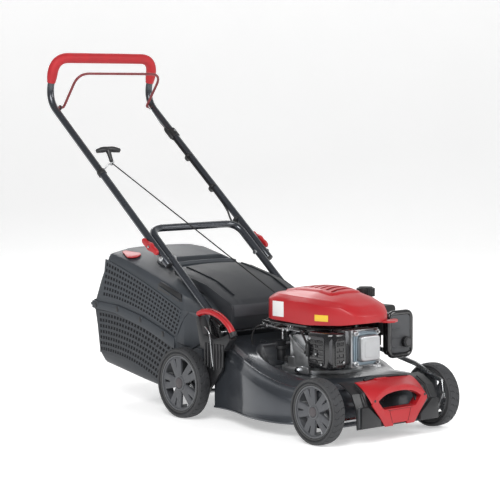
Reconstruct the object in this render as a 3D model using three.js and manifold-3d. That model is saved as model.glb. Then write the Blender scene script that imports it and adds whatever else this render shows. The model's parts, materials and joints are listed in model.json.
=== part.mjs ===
// Petrol push lawn mower, millimetres, +Z up. The front faces -Y, the handle and grass box
// trail towards +Y, and X is across the mower. While the pieces are made, y = 0 is the front
// wheels' hub line and z = 0 is the floor. The last step centres the mower over its origin.
import * as THREE from 'three';
import { mergeVertices } from 'three/addons/utils/BufferGeometryUtils.js';
import Module from 'manifold-3d';

const wasm = await Module();
wasm.setup();

// ---------------------------------------------------------------- driving dimensions
const GAP = 0.3; // between pieces that touch
const RUN = 0.6; // radial clearance of a turning or sliding fit
const WHEELBASE = 563.5;
const TRACK = 469; // over the wheels' outer faces
const FRONT_R = 88; // front wheel radius
const REAR_R = 100; // rear wheel radius
const TYRE_W = 43;
const STUB_R = 6; // axle bar and stub radius
const CRANK = 50; // hub offset from the crank axle's bar
const CRANK_REST = 30; // the crank's angle above level at the lowest cut, degrees
const SHELL = 3; // sheet and moulding wall
const CUT_Y = 215; // crankshaft line
const BLADE_R = 209; // half of a 418 mm blade
const DECK_BOTTOM = 36;
const DECK_HALF_REAR = 177; // deck half width beside the rear wheels
const PLATFORM_Z = 156; // the seat of the engine on the deck
const DECK_REAR = 470;
const BOX_HALF = 187;
const BOX_NECK_HALF = 146; // the box mouth, between the bracket plates
const BOX_FRONT = 474;
const BOX_WIDE = 610; // where the box reaches its full width
const BOX_REAR = 1046;
const RIM_FRONT_Z = 232; // where the two box shells meet, at the front and the rear
const RIM_REAR_Z = 283;
const HANDLE_X = 190; // upper handle legs, centre lines
const TUBE_R = 11;
const LOWER_X = HANDLE_X - 2 * TUBE_R - 2.2; // the lower bow lies just inside the legs
const FOLD_Y = 680; // fold axis of the handle
const FOLD_Z = 444;
const LEG_ANGLE = 38.3; // handle legs above level, degrees
const LEG_TOP = 738; // fold axis to the leg's upper bend
const GRIP_RISE = 124; // the grip bar above the legs' line
const GRIP_BACK = 52; // and beyond the upper bend
const COWL_HALF = 112;
const COWL_Z = 294; // bottom edge of the cowl
const COWL_TOP = 385;
const PULLEY_R = 32; // recoil starter drum
const ROPE_R = 2;

// ---------------------------------------------------------------- small tools
const deg = THREE.MathUtils.degToRad;
const V = (x, y, z) => new THREE.Vector3(x, y, z);
const mower = new THREE.Group();

function solid(geometry) {
  const g = geometry.clone();
  for (const name of ['normal', 'uv']) g.deleteAttribute(name);
  const m = mergeVertices(g, 1e-4);
  const mesh = new wasm.Mesh({
    numProp: 3,
    vertProperties: new Float32Array(m.attributes.position.array),
    triVerts: new Uint32Array(m.index.array),
  });
  return new wasm.Manifold(mesh);
}

function surface(manifold) {
  const mesh = manifold.getMesh();
  const g = new THREE.BufferGeometry();
  g.setAttribute('position', new THREE.BufferAttribute(mesh.vertProperties, 3));
  g.setIndex(new THREE.BufferAttribute(mesh.triVerts, 1));
  g.computeVertexNormals();
  return g;
}

const join = (...s) => s.reduce((a, b) => a.add(b));
const cut = (s, ...tools) => tools.reduce((a, b) => a.subtract(b), s);

function node(name, shape, look) {
  const geometry = shape.isBufferGeometry ? shape : surface(shape);
  const mesh = new THREE.Mesh(geometry, look.clone());
  mesh.name = name;
  mower.add(mesh);
  return mesh;
}

function box(sx, sy, sz, x, y, z) {
  return solid(new THREE.BoxGeometry(sx, sy, sz).translate(x, y, z));
}

// a box given by its two corners
function span(x0, x1, y0, y1, z0, z1) {
  return box(x1 - x0, y1 - y0, z1 - z0, (x0 + x1) / 2, (y0 + y1) / 2, (z0 + z1) / 2);
}

// a cylinder between two points
function rod(a, b, r, sides = 12) {
  const d = b.clone().sub(a);
  const g = new THREE.CylinderGeometry(r, r, d.length(), sides);
  g.applyQuaternion(new THREE.Quaternion().setFromUnitVectors(V(0, 1, 0), d.normalize()));
  const mid = a.clone().add(b).multiplyScalar(0.5);
  return solid(g.translate(mid.x, mid.y, mid.z));
}

// a turned piece: profile of [radius, height] on the axis line, stood up along Z
function turned(profile, sides = 24) {
  const points = profile.map(([r, h]) => new THREE.Vector2(r, h));
  return solid(new THREE.LatheGeometry(points, sides).rotateX(Math.PI / 2));
}

// a turned piece on the X axis, for wheels: height runs outwards, away from the mower's middle
function turnedX(profile, sides, side) {
  const s = turned(profile, sides);
  return s.rotate([0, side * 90, 0]);
}

// a flat outline of [y, z] points drawn out from x0 to x1
function plateX(outline, x0, x1, holes = []) {
  const shape = new THREE.Shape(outline.map(([y, z]) => new THREE.Vector2(y, z)));
  for (const h of holes) shape.holes.push(h);
  const g = new THREE.ExtrudeGeometry(shape, { depth: x1 - x0, bevelEnabled: false });
  g.applyMatrix4(new THREE.Matrix4().makeBasis(V(0, 1, 0), V(0, 0, 1), V(1, 0, 0)));
  return solid(g.translate(x0, 0, 0));
}

function roundHole(y, z, r) {
  const path = new THREE.Path();
  path.absarc(y, z, r, 0, 2 * Math.PI, true);
  return path;
}

// a path that is stepped only where it is given a stop, so straight runs stay one step
class StopPath extends THREE.Curve {
  constructor(stops) {
    super();
    this.stops = stops;
  }

  getPoint(t) {
    return this.stops[Math.round(t * (this.stops.length - 1))].clone();
  }

  getPointAt(t) {
    return this.getPoint(t);
  }

  getTangent(t) {
    const i = Math.round(t * (this.stops.length - 1));
    const a = this.stops[Math.max(0, i - 1)];
    const b = this.stops[Math.min(this.stops.length - 1, i + 1)];
    const here = this.stops[i];
    const into = here.clone().sub(a).normalize();
    const out = b.clone().sub(here).normalize();
    return into.add(out).normalize();
  }

  getTangentAt(t) {
    return this.getTangent(t);
  }
}

// straight runs between the points, with a round bend of its own size at each inner one
function bentPath(points, bends, steps = 5) {
  const stops = [points[0]];
  for (let i = 1; i < points.length - 1; i += 1) {
    const bend = Array.isArray(bends) ? bends[i - 1] : bends;
    const a = points[i - 1].clone().sub(points[i]).normalize();
    const b = points[i + 1].clone().sub(points[i]).normalize();
    const start = points[i].clone().addScaledVector(a, bend);
    const end = points[i].clone().addScaledVector(b, bend);
    const curve = new THREE.QuadraticBezierCurve3(start, points[i], end);
    stops.push(...curve.getPoints(steps));
  }
  stops.push(points[points.length - 1]);
  return new StopPath(stops);
}

function tube(path, r, steps, sides = 10) {
  const ring = new THREE.Shape();
  for (let i = 0; i < sides; i += 1) {
    const a = (2 * Math.PI * i) / sides;
    if (i === 0) ring.moveTo(r, 0);
    else ring.lineTo(r * Math.cos(a), r * Math.sin(a));
  }
  ring.closePath();
  const count = path.stops ? path.stops.length - 1 : steps;
  return solid(new THREE.ExtrudeGeometry(ring, {
    extrudePath: path, steps: count, curveSegments: 1,
  }));
}

// a flat band of [y, z] points, half width w, from x0 to x1
function bandX(line, w, x0, x1) {
  const parts = [];
  line.slice(1).forEach(([y1, z1], i) => {
    const [y0, z0] = line[i];
    const l = Math.hypot(y1 - y0, z1 - z0);
    const n = { y: (-(z1 - z0) / l) * w, z: ((y1 - y0) / l) * w };
    parts.push(plateX([
      [y0 + n.y, z0 + n.z], [y0 - n.y, z0 - n.z], [y1 - n.y, z1 - n.z], [y1 + n.y, z1 + n.z],
    ], x0, x1));
    if (i) parts.push(rod(V(x0, y0, z0), V(x1, y0, z0), w, 6));
  });
  return join(...parts);
}

// radius that clears a faceted tube of TUBE_R all round
const aroundTube = (sides) => (TUBE_R + GAP) / Math.cos(Math.PI / sides);

// a closed skin through rings of points, each ring with the same number, capped at both ends
function loft(rings) {
  const n = rings[0].length;
  const at = [];
  const index = [];
  for (const ring of rings) for (const p of ring) at.push(p.x, p.y, p.z);
  for (let k = 0; k < rings.length - 1; k += 1) {
    for (let i = 0; i < n; i += 1) {
      const a = k * n + i;
      const b = k * n + ((i + 1) % n);
      index.push(a, b, b + n, a, b + n, a + n);
    }
  }
  for (const [k, flip] of [[0, true], [rings.length - 1, false]]) {
    const mid = rings[k].reduce((s, p) => s.add(p), V(0, 0, 0)).divideScalar(n);
    const c = at.length / 3;
    at.push(mid.x, mid.y, mid.z);
    for (let i = 0; i < n; i += 1) {
      const a = k * n + i;
      const b = k * n + ((i + 1) % n);
      if (flip) index.push(c, b, a);
      else index.push(c, a, b);
    }
  }
  const g = new THREE.BufferGeometry();
  g.setAttribute('position', new THREE.Float32BufferAttribute(at, 3));
  g.setIndex(index);
  const s = solid(g);
  if (s.volume() > 0) return s;
  const flipped = [];
  for (let i = 0; i < index.length; i += 3) flipped.push(index[i], index[i + 2], index[i + 1]);
  g.setIndex(flipped);
  return solid(g);
}

// ---------------------------------------------------------------- finishes
const finish = (color, roughness, metalness) =>
  new THREE.MeshStandardMaterial({ color, roughness, metalness });
const DECK_GREY = finish(0x3a3f46, 0.35, 0.5);
const BLACK = finish(0x17181a, 0.55, 0);
const BOX_GREY = finish(0x4b5057, 0.6, 0);
const RED = finish(0xc9262c, 0.4, 0);
const RUBBER = finish(0x2a2b2d, 0.9, 0);
const RIM_GREY = finish(0x4a4d51, 0.6, 0);
const TUBE_GREY = finish(0x34383e, 0.35, 0.6);
const ALLOY = finish(0xb9bcc0, 0.4, 0.9);
const STEEL = finish(0x8d9094, 0.35, 1);
const IRON = finish(0x55585c, 0.6, 0.8);

// ---------------------------------------------------------------- deck
// half outline of the deck's skirt seen from above, front to rear on the +X side
const DECK_HALF = [
  [60, -8], [130, -6], [172, 2], [184, 30], [185, 92], [203, 122], [217, 160], [222, 205],
  [219, 255], [209, 305], [193, 355], [180, 405], [DECK_HALF_REAR, 440], [DECK_HALF_REAR, DECK_REAR],
];

function shoulderZ(y) {
  return THREE.MathUtils.clamp(141 + 0.267 * (y - 100), 146, 236);
}

function deckRing(scale, height) {
  const side = DECK_HALF.map(([x, y]) => [x * scale, CUT_Y + (y - CUT_Y) * scale]);
  const other = side.slice().reverse().map(([x, y]) => [-x, y]);
  return side.concat(other).map(([x, y]) => V(x, y, height(y)));
}

function deckSolid(wall) {
  const s = 1 - wall / 190;
  const low = wall ? DECK_BOTTOM - 6 : DECK_BOTTOM;
  return loft([
    deckRing(s, () => low),
    deckRing(s, () => 92),
    deckRing(0.985 * s, (y) => shoulderZ(y) - 26 - wall),
    deckRing(0.945 * s, (y) => shoulderZ(y) - 4 - wall),
    deckRing(0.87 * s, (y) => shoulderZ(y) + 5 - wall),
    deckRing(0.5 * s, (y) => shoulderZ(y) + 8 - wall),
  ]);
}

// the engine stands in a round well sunk into the deck's rising top
function well(r, floor) {
  return turned([[0, floor], [r, floor], [r + 16, floor + 130], [0, floor + 130]], 32)
    .translate([0, CUT_Y, 0]);
}
const MOUTH = { half: 120, low: 112, high: 214 }; // discharge hole in the deck's rear wall
const outside = cut(deckSolid(0), well(150, PLATFORM_Z));
const inside = cut(deckSolid(SHELL), well(150 + SHELL, PLATFORM_Z - SHELL));
const deck = cut(
  outside,
  inside,
  rod(V(0, CUT_Y, 100), V(0, CUT_Y, 200), 22, 20),
  span(-MOUTH.half, MOUTH.half, DECK_REAR - 20, DECK_REAR + 10, MOUTH.low, MOUTH.high),
);
node('deck', deck, DECK_GREY);

// ---------------------------------------------------------------- bracket plates at the rear
const CRANK_DY = CRANK * Math.cos(deg(CRANK_REST));
const CRANK_DZ = CRANK * Math.sin(deg(CRANK_REST));
const FRONT_PIVOT = { y: -CRANK_DY, z: FRONT_R - CRANK_DZ };
const REAR_PIVOT = { y: WHEELBASE - CRANK_DY, z: REAR_R - CRANK_DZ };
const PLATE_IN = DECK_HALF_REAR + GAP;
const PLATE_OUT = PLATE_IN + 3.5;
const LEG_DIR = { y: Math.cos(deg(LEG_ANGLE)), z: Math.sin(deg(LEG_ANGLE)) };
const legPoint = (x, s, rise = 0) =>
  V(x, FOLD_Y + LEG_DIR.y * s - LEG_DIR.z * rise, FOLD_Z + LEG_DIR.z * s + LEG_DIR.y * rise);
const LOWER_END = -290; // lower end of the bow, measured from the fold axis
for (const [name, side] of [['bracket_right', -1], ['bracket_left', 1]]) {
  const x = [side * PLATE_IN, side * PLATE_OUT].sort((a, b) => a - b);
  const outline = [
    [444, 150], [500, 58], [540, 58], [545, 100], [505, 190], [500, 262], [480, 296], [444, 262],
  ];
  const plate = plateX(outline, x[0], x[1], [roundHole(REAR_PIVOT.y, REAR_PIVOT.z, STUB_R + RUN)]);
  // the socket that holds the bow's lower end
  const foot = legPoint(side * LOWER_X, LOWER_END - 4);
  const mouth = legPoint(side * LOWER_X, LOWER_END + 34);
  const bore = legPoint(side * LOWER_X, LOWER_END - GAP);
  const socket = cut(rod(foot, mouth, TUBE_R + 4.4, 12),
    rod(bore, legPoint(side * LOWER_X, LOWER_END + 60), aroundTube(12), 12));
  node(name, join(plate, socket), BLACK);
}

// ---------------------------------------------------------------- wheels
function tyre(r, side) {
  const w = TYRE_W;
  const bead = 0.8 * r;
  return turnedX([
    [bead, 4], [r - 7, 2], [r - 2, 6], [r, 13], [r, w - 13], [r - 2, w - 6], [r - 7, w - 1],
    [r - 11, w], [bead, w - 3], [bead, 4],
  ], WHEEL_SIDES, side);
}

// points round an arc, both ends included
function arcPoints(r, a0, a1, steps) {
  return Array.from({ length: steps + 1 }, (_, i) => {
    const a = a0 + ((a1 - a0) * i) / steps;
    return new THREE.Vector2(r * Math.cos(a), r * Math.sin(a));
  });
}

// an opening between two spokes, wide at the rim and narrow at the hub
function spokeWindow(a0, a1, r0, r1, steps) {
  const mid = (a0 + a1) / 2;
  return new THREE.Path([
    ...arcPoints(r1, a0, a1, steps), ...arcPoints(r0, mid + 0.12, mid - 0.12, 1),
  ]);
}

const SPOKES = 5;
const WHEEL_SIDES = 28;
const TO_FLAT = Math.cos(Math.PI / WHEEL_SIDES); // a facet's middle against its corner
function rim(r) {
  const outer = 0.8 * r * TO_FLAT - GAP;
  const shape = new THREE.Shape(arcPoints(outer, 0, 2 * Math.PI, WHEEL_SIDES).slice(1));
  const pitch = (2 * Math.PI) / SPOKES;
  for (let k = 0; k < SPOKES; k += 1) {
    const a = k * pitch + Math.PI / 2;
    shape.holes.push(spokeWindow(a + 0.34, a + pitch - 0.34, 0.27 * r, 0.69 * r, 3));
    shape.holes.push(spokeWindow(a - 0.11, a + 0.11, 0.4 * r, 0.69 * r, 1));
  }
  shape.holes.push(new THREE.Path(arcPoints(STUB_R + RUN, 0, 2 * Math.PI, 12).slice(1)));
  const g = new THREE.ExtrudeGeometry(shape, { depth: TYRE_W - 12, bevelEnabled: false });
  return g.applyMatrix4(new THREE.Matrix4().makeBasis(V(0, 1, 0), V(0, 0, 1), V(1, 0, 0)));
}

const WHEEL_IN = TRACK / 2 - TYRE_W;
const corners = [
  ['front_right', -1, 0, FRONT_R], ['front_left', 1, 0, FRONT_R],
  ['rear_right', -1, WHEELBASE, REAR_R], ['rear_left', 1, WHEELBASE, REAR_R],
];
for (const [corner, side, y, r] of corners) {
  node(`tyre_${corner}`, tyre(r, side).translate([side * WHEEL_IN, y, r]), RUBBER);
  const width = TYRE_W - 12;
  const x0 = side > 0 ? WHEEL_IN + 6 : -WHEEL_IN - 6 - width;
  node(`rim_${corner}`, rim(r), RIM_GREY).position.set(x0, y, r);
}

// ---------------------------------------------------------------- crank axles
const ARM_IN = PLATE_OUT + 0.8;
const ARM_OUT = WHEEL_IN - 0.8;
function crankAxle(pivot, hub) {
  const bar = rod(V(-ARM_IN - 1, pivot.y, pivot.z), V(ARM_IN + 1, pivot.y, pivot.z), STUB_R);
  let axle = bar;
  for (const side of [-1, 1]) {
    const ends = [side * ARM_IN, side * ARM_OUT].sort((a, b) => a - b);
    const dy = hub.y - pivot.y;
    const dz = hub.z - pivot.z;
    const n = { y: (-dz / CRANK) * 11, z: (dy / CRANK) * 11 };
    const arm = plateX([
      [pivot.y - n.y, pivot.z - n.z], [hub.y - n.y, hub.z - n.z],
      [hub.y + n.y, hub.z + n.z], [pivot.y + n.y, pivot.z + n.z],
    ], ends[0], ends[1]);
    const stub = rod(V(side * (ARM_OUT - 2), hub.y, hub.z), V(side * (TRACK / 2 - 7), hub.y, hub.z),
      STUB_R);
    axle = join(axle, arm, stub,
      rod(V(ends[0], pivot.y, pivot.z), V(ends[1], pivot.y, pivot.z), 11),
      rod(V(ends[0], hub.y, hub.z), V(ends[1], hub.y, hub.z), 11));
  }
  return axle;
}
const frontHub = { y: 0, z: FRONT_R };
const rearHub = { y: WHEELBASE, z: REAR_R };

// the link that ties the two cranks together lies beside the left plates and over the deck
const LINK_ARM = 34; // height of the link's pins over the axle bars
const LINK_BACK = 20; // and their set back at the lowest cut
const PIN_R = 4;
function linkPin(pivot) {
  const y = pivot.y - LINK_BACK;
  const z = pivot.z + LINK_ARM;
  const a = ARM_IN;
  const ear = plateX([
    [pivot.y - 10, pivot.z], [pivot.y + 10, pivot.z], [y + 7, z + 4], [y - 7, z + 4],
  ], a, a + 2.2);
  const pin = rod(V(a + 1, y, z), V(ARM_OUT, y, z), PIN_R);
  return join(ear, pin);
}
node('front_axle', join(crankAxle(FRONT_PIVOT, frontHub), linkPin(FRONT_PIVOT)), STEEL);
node('rear_axle', join(crankAxle(REAR_PIVOT, rearHub), linkPin(REAR_PIVOT)), STEEL);

const LINK_IN = ARM_IN + 2.2 + GAP;
const LINK_TOP = 262; // over the deck's shoulder
function linkStrap() {
  const y0 = FRONT_PIVOT.y - LINK_BACK;
  const z0 = FRONT_PIVOT.z + LINK_ARM;
  const y1 = REAR_PIVOT.y - LINK_BACK;
  const z1 = REAR_PIVOT.z + LINK_ARM;
  const line = [
    [y0, z0], [y0 + 6, z0 + 40], [40, 172], [180, 200], [330, LINK_TOP - 10], [440, LINK_TOP],
    [472, LINK_TOP - 40], [y1, z1],
  ];
  const strap = bandX(line, 6, LINK_IN, ARM_OUT - GAP);
  const eye = (y, z) => rod(V(LINK_IN, y, z), V(ARM_OUT - GAP, y, z), 10);
  const hole = (y, z) => rod(V(LINK_IN - 2, y, z), V(ARM_OUT + 2, y, z), PIN_R + RUN);
  return cut(join(strap, eye(y0, z0), eye(y1, z1)), hole(y0, z0), hole(y1, z1));
}
node('height_link', linkStrap(), STEEL);

// ---------------------------------------------------------------- height lever, right rear
// black arm from the axle bar up beside the deck, opening into a loop that carries the red grip
const LEVER_IN = -ARM_OUT;
function leverArm() {
  const { y, z } = REAR_PIVOT;
  const arm = plateX([
    [y - 24, z - 8], [y - 6, z + 22], [486, 160], [500, 214], [418, 214], [420, 150],
  ], -ARM_OUT, -ARM_IN);
  const disc = rod(V(-ARM_IN, y, z), V(-ARM_OUT, y, z), 18);
  const fan = plateX([
    [388, 206], [486, 206], [506, 292], [494, 294], [470, 246], [432, 236], [392, 244], [366, 256],
    [358, 240],
  ], -214, -ARM_OUT + 2);
  const crank = bandX([[y, z], [WHEELBASE, REAR_R]], 11 + GAP, -ARM_OUT - 1, -ARM_IN + 1);
  return cut(join(arm, disc, fan), crank,
    rod(V(-ARM_IN + 1, y, z), V(-ARM_OUT - 1, y, z), 11 + 2 * GAP));
}
node('height_lever', leverArm(), BLACK);
const gripCurve = new THREE.CatmullRomCurve3([
  V(-203, 358, 257.5), V(-203, 385, 284), V(-203, 425, 301), V(-203, 470, 305), V(-203, 500, 300),
]);
const gripEnds = join(
  rod(V(-203, 500, 300), V(-203, 502, 294.6), 9, 10),
  rod(V(-203, 358, 257.5), V(-203, 360, 256), 9, 10),
);
const leverGrip = cut(join(tube(gripCurve, 10, 14, 10), gripEnds),
  plateX([
    [350, 230], [520, 230], [520, 293], [506.3, 292.3], [494, 294.4], [480, 292],
    [392, 244.4], [366, 256.4], [357.6, 240.4],
  ], -216, -180));
node('height_lever_grip', leverGrip, RED);

// ---------------------------------------------------------------- front apron and red cover
const APRON_HALF = 150;
const apronPath = [[-84, 42], [-80, 96], [-62, 132], [-30, 152], [-9, 158]];
function thickStrip(path, t, x0, x1) {
  const back = path.map(([y, z]) => [y + t, z - t * 0.4]).reverse();
  return plateX(path.concat(back), x0, x1);
}
// block beside the cover's foot, under its wing
function bumper(side) {
  const outline = [[74, 44], [142, 44], [142, 98], [118, 98], [74, 60]];
  const s = new THREE.Shape(outline.map(([x, z]) => new THREE.Vector2(side * x, z)));
  const g = new THREE.ExtrudeGeometry(s, { depth: 14, bevelEnabled: false });
  g.applyMatrix4(new THREE.Matrix4().makeBasis(V(1, 0, 0), V(0, 0, 1), V(0, -1, 0)));
  return solid(g.translate(0, -79, 0));
}
// the apron is open behind the carry opening, so that fingers go through
const apron = cut(
  join(thickStrip(apronPath, 4, -APRON_HALF, APRON_HALF), bumper(-1), bumper(1)),
  span(-68, 68, -100, -40, 86, 142),
);
node('front_apron', apron, BLACK);

// lower shield with the arched carry opening, then a top that runs back over the apron
const COVER = { low: 40, front: -85, thick: 5, lean: 2, topHalf: 104 };
function frontCover() {
  const face = new THREE.Shape();
  const outline = [
    [-53, 0], [53, 0], [102, 61], [97, 80], [60, 102], [-60, 102], [-97, 80], [-102, 61],
  ];
  outline.forEach(([x, z], i) => (i ? face.lineTo(x, z) : face.moveTo(x, z)));
  const arch = new THREE.Path();
  arch.moveTo(-59, 46);
  arch.lineTo(-80, 70);
  arch.quadraticCurveTo(-42, 92, 0, 92);
  arch.quadraticCurveTo(42, 92, 80, 70);
  arch.lineTo(59, 46);
  arch.closePath();
  face.holes.push(arch);
  const g = new THREE.ExtrudeGeometry(face, {
    depth: COVER.thick, bevelEnabled: false, curveSegments: 6,
  });
  g.rotateX(Math.PI / 2 - deg(COVER.lean)).translate(0, COVER.front, COVER.low);
  const top = plateX([
    [-87, 136], [-62, 146], [-34, 158], [-22, 161], [-22, 157.5], [-34, 154.2], [-62, 141],
    [-85, 132],
  ], -COVER.topHalf, COVER.topHalf);
  return join(solid(g), top);
}
node('front_cover', frontCover(), RED);

// ---------------------------------------------------------------- blade and crankshaft
const BLADE_Z = 54;
const crankshaft = join(
  rod(V(0, CUT_Y, BLADE_Z + 14), V(0, CUT_Y, 318), 11, 16),
  rod(V(0, CUT_Y, 214), V(0, CUT_Y, 236), 24, 16),
);
node('crankshaft', crankshaft, STEEL);
const holder = cut(
  join(
    turned([[0, BLADE_Z + 4.3], [40, BLADE_Z + 4.3], [40, BLADE_Z + 10], [20, BLADE_Z + 16],
      [20, BLADE_Z + 48], [0, BLADE_Z + 48]], 20).translate([0, CUT_Y, 0]),
  ),
  rod(V(0, CUT_Y, BLADE_Z + 14 - GAP), V(0, CUT_Y, 200), 11 + GAP, 16),
  rod(V(0, CUT_Y, 40), V(0, CUT_Y, BLADE_Z + 20), 6, 12),
);
node('blade_holder', holder, IRON);

function blade() {
  const shape = new THREE.Shape();
  const w = 26;
  const pts = [
    [-BLADE_R, -w], [-60, -w], [60, -w], [BLADE_R, -w + 12], [BLADE_R, w], [60, w], [-60, w],
    [-BLADE_R, w - 12],
  ];
  pts.forEach(([x, y], i) => (i ? shape.lineTo(x, y) : shape.moveTo(x, y)));
  const hole = new THREE.Path();
  hole.absarc(0, 0, 6, 0, 2 * Math.PI, true);
  shape.holes.push(hole);
  const flat = solid(new THREE.ExtrudeGeometry(shape, {
    depth: 4, bevelEnabled: false, curveSegments: 6,
  }).translate(0, 0, BLADE_Z));
  const wing = (side) => solid(new THREE.BoxGeometry(62, 14, 3).rotateX(side * deg(-28))
    .translate(side * (BLADE_R - 42), side * (w - 4), BLADE_Z + 6));
  const disc = rod(V(0, 0, 0), V(0, 0, 100), BLADE_R, 48);
  return join(flat, wing(1), wing(-1)).intersect(disc).translate([0, CUT_Y, 0]);
}
node('blade', blade(), STEEL);
const bolt = join(
  rod(V(0, CUT_Y, BLADE_Z - GAP - 8), V(0, CUT_Y, BLADE_Z - GAP), 16, 6),
  rod(V(0, CUT_Y, BLADE_Z - 4), V(0, CUT_Y, BLADE_Z + 14 - 2 * GAP), 5.6, 12),
);
node('blade_bolt', bolt, STEEL);

// ---------------------------------------------------------------- engine
// base flange on the deck, crankcase, and the cylinder pointing to the front
const ENGINE_Z = PLATFORM_Z + GAP;
const CYL_Z = 232; // the cylinder's axis
const HEAD_Y = 96; // the joint between the cylinder and the head
const engineCase = cut(
  join(
    turned([[0, ENGINE_Z], [112, ENGINE_Z], [112, ENGINE_Z + 10], [84, ENGINE_Z + 16],
      [78, 250], [64, 268], [0, 268]], 24).translate([0, CUT_Y, 0]),
    rod(V(0, CUT_Y - 40, CYL_Z), V(0, HEAD_Y + 5, CYL_Z), 40, 20),
    ...[0, 1, 2, 3].map((k) => span(-52, 52, HEAD_Y + 5 + 10 * k, HEAD_Y + 8 + 10 * k, 186, 278)),
    span(-50, 50, HEAD_Y, HEAD_Y + 5, 186, 278),
    span(-96, -60, 180, 250, ENGINE_Z + 4, 196),
  ),
  rod(V(0, CUT_Y, 100), V(0, CUT_Y, 400), 11 + RUN, 16),
  rod(V(0, CUT_Y, 210), V(0, CUT_Y, 240), 24 + 2 * RUN, 16),
);
node('engine_block', engineCase, ALLOY);
const head = join(
  span(-46, 46, 60, HEAD_Y - GAP, 188, 276),
  ...[0, 1, 2].map((k) => span(-54, 54, 64 + 11 * k, 67 + 11 * k, 186, 280)),
  span(-50, 50, 46, 62, 182, 282),
);
node('cylinder_head', head, ALLOY);
function roundBox(x0, x1, y0, y1, z0, z1, r) {
  const s = new THREE.Shape();
  s.moveTo(x0 + r, z0);
  s.absarc(x1 - r, z0 + r, r, -Math.PI / 2, 0, false);
  s.absarc(x1 - r, z1 - r, r, 0, Math.PI / 2, false);
  s.absarc(x0 + r, z1 - r, r, Math.PI / 2, Math.PI, false);
  s.absarc(x0 + r, z0 + r, r, Math.PI, 1.5 * Math.PI, false);
  const g = new THREE.ExtrudeGeometry(s, { depth: y1 - y0, bevelEnabled: false, curveSegments: 4 });
  g.applyMatrix4(new THREE.Matrix4().makeBasis(V(1, 0, 0), V(0, 0, 1), V(0, -1, 0)));
  return solid(g.translate(0, y1, 0));
}
const valveCover = join(
  roundBox(-44, 44, 40, 46 - GAP, 186, 278, 8),
  roundBox(-37, 37, 20, 42, 193, 272, 12),
);
node('valve_cover', valveCover, ALLOY);
// muffler box with its vented guard, on the right of the head
const guardShell = cut(
  roundBox(-131, -73, 38, 136, 180, 279, 14),
  roundBox(-128, -60, 41, 133, 183, 276, 12),
);
const vents = [];
for (let row = 0; row < 4; row += 1) {
  const z = 200 + row * 18;
  for (const y of [62, 98]) vents.push(box(12, 26, 6, -131, y, z));
  vents.push(box(30, 12, 7, -100, 38, z));
}
node('muffler_guard', cut(guardShell, ...vents), BLACK);
const muffler = join(
  roundBox(-124, -70, 46, 128, 190, 270, 16),
  rod(V(-72, 84, CYL_Z), V(-54 - GAP, 84, CYL_Z), 12, 12),
);
node('muffler', muffler, IRON);

// flywheel with its fan, turning with the crankshaft under the cowl
const flywheel = cut(
  join(
    turned([[0, 274], [74, 274], [74, 292], [20, 296], [0, 296]], 24).translate([0, CUT_Y, 0]),
    ...Array.from({ length: 12 }, (_, k) => box(30, 3, 14, 56, 0, 297)
      .rotate([0, 0, k * 30]).translate([0, CUT_Y, 0])),
  ),
  rod(V(0, CUT_Y, 200), V(0, CUT_Y, 400), 11 + GAP, 16),
);
node('flywheel', flywheel, IRON);

// recoil starter drum hanging under the cowl's roof
const DRUM_Z = 326;
const drum = join(
  turned([[0, DRUM_Z], [PULLEY_R + 6, DRUM_Z], [PULLEY_R + 6, DRUM_Z + 3], [PULLEY_R, DRUM_Z + 5],
    [PULLEY_R, DRUM_Z + 13], [PULLEY_R + 6, DRUM_Z + 15], [PULLEY_R + 6, DRUM_Z + 18],
    [0, DRUM_Z + 18]], 24).translate([0, CUT_Y, 0]),
);
node('starter_drum', drum, BLACK);

// cowl: rounded loft, open below
function cowlRing(y, half, top, bottom, wall) {
  const h = half - wall;
  const t = top - wall;
  const pts = [
    [-h, bottom], [-h + 1, bottom + 0.45 * (t - bottom)], [-0.93 * h, bottom + 0.72 * (t - bottom)],
    [-0.72 * h, bottom + 0.9 * (t - bottom)], [-0.4 * h, t - 2], [0, t],
  ];
  const mirror = pts.slice(0, 5).reverse().map(([x, z]) => [-x, z]);
  return pts.concat(mirror).map(([x, z]) => V(x, y, z));
}
const COWL = [
  // y, share of the half width, top
  [12, 0.42, 350], [24, 0.56, 361], [48, 0.7, 371], [84, 0.85, 378], [130, 0.97, 383],
  [180, 1, COWL_TOP], [224, 1, COWL_TOP], [290, 1, 380], [305, 0.98, 377], [325, 0.88, 374],
  [348, 0.7, 368], [366, 0.48, 361], [376, 0.3, 352],
];
function cowlSolid(wall) {
  const low = wall ? COWL_Z - 10 : COWL_Z;
  const rings = COWL.map(([y, share, top], i) => {
    let at = y;
    if (wall && i === 0) at += wall;
    if (wall && i === COWL.length - 1) at -= wall;
    return cowlRing(at, share * COWL_HALF, top, low, wall);
  });
  return loft(rings);
}
const VENT = { count: 5, first: 160, step: 28, long: 110, wide: 9, deep: 60, z: 390 };
const cowlVents = Array.from({ length: VENT.count }, (_, k) =>
  box(VENT.long, VENT.wide, VENT.deep, 0, VENT.first + VENT.step * k, VENT.z));
const ROPE_IN = V(-48, 350, 357);
const cowlShell = cut(
  cowlSolid(0), cowlSolid(SHELL), ...cowlVents,
  box(22, 46, 22, ROPE_IN.x, ROPE_IN.y + 8, ROPE_IN.z),
);
node('engine_cowl', cowlShell, RED);

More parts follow.
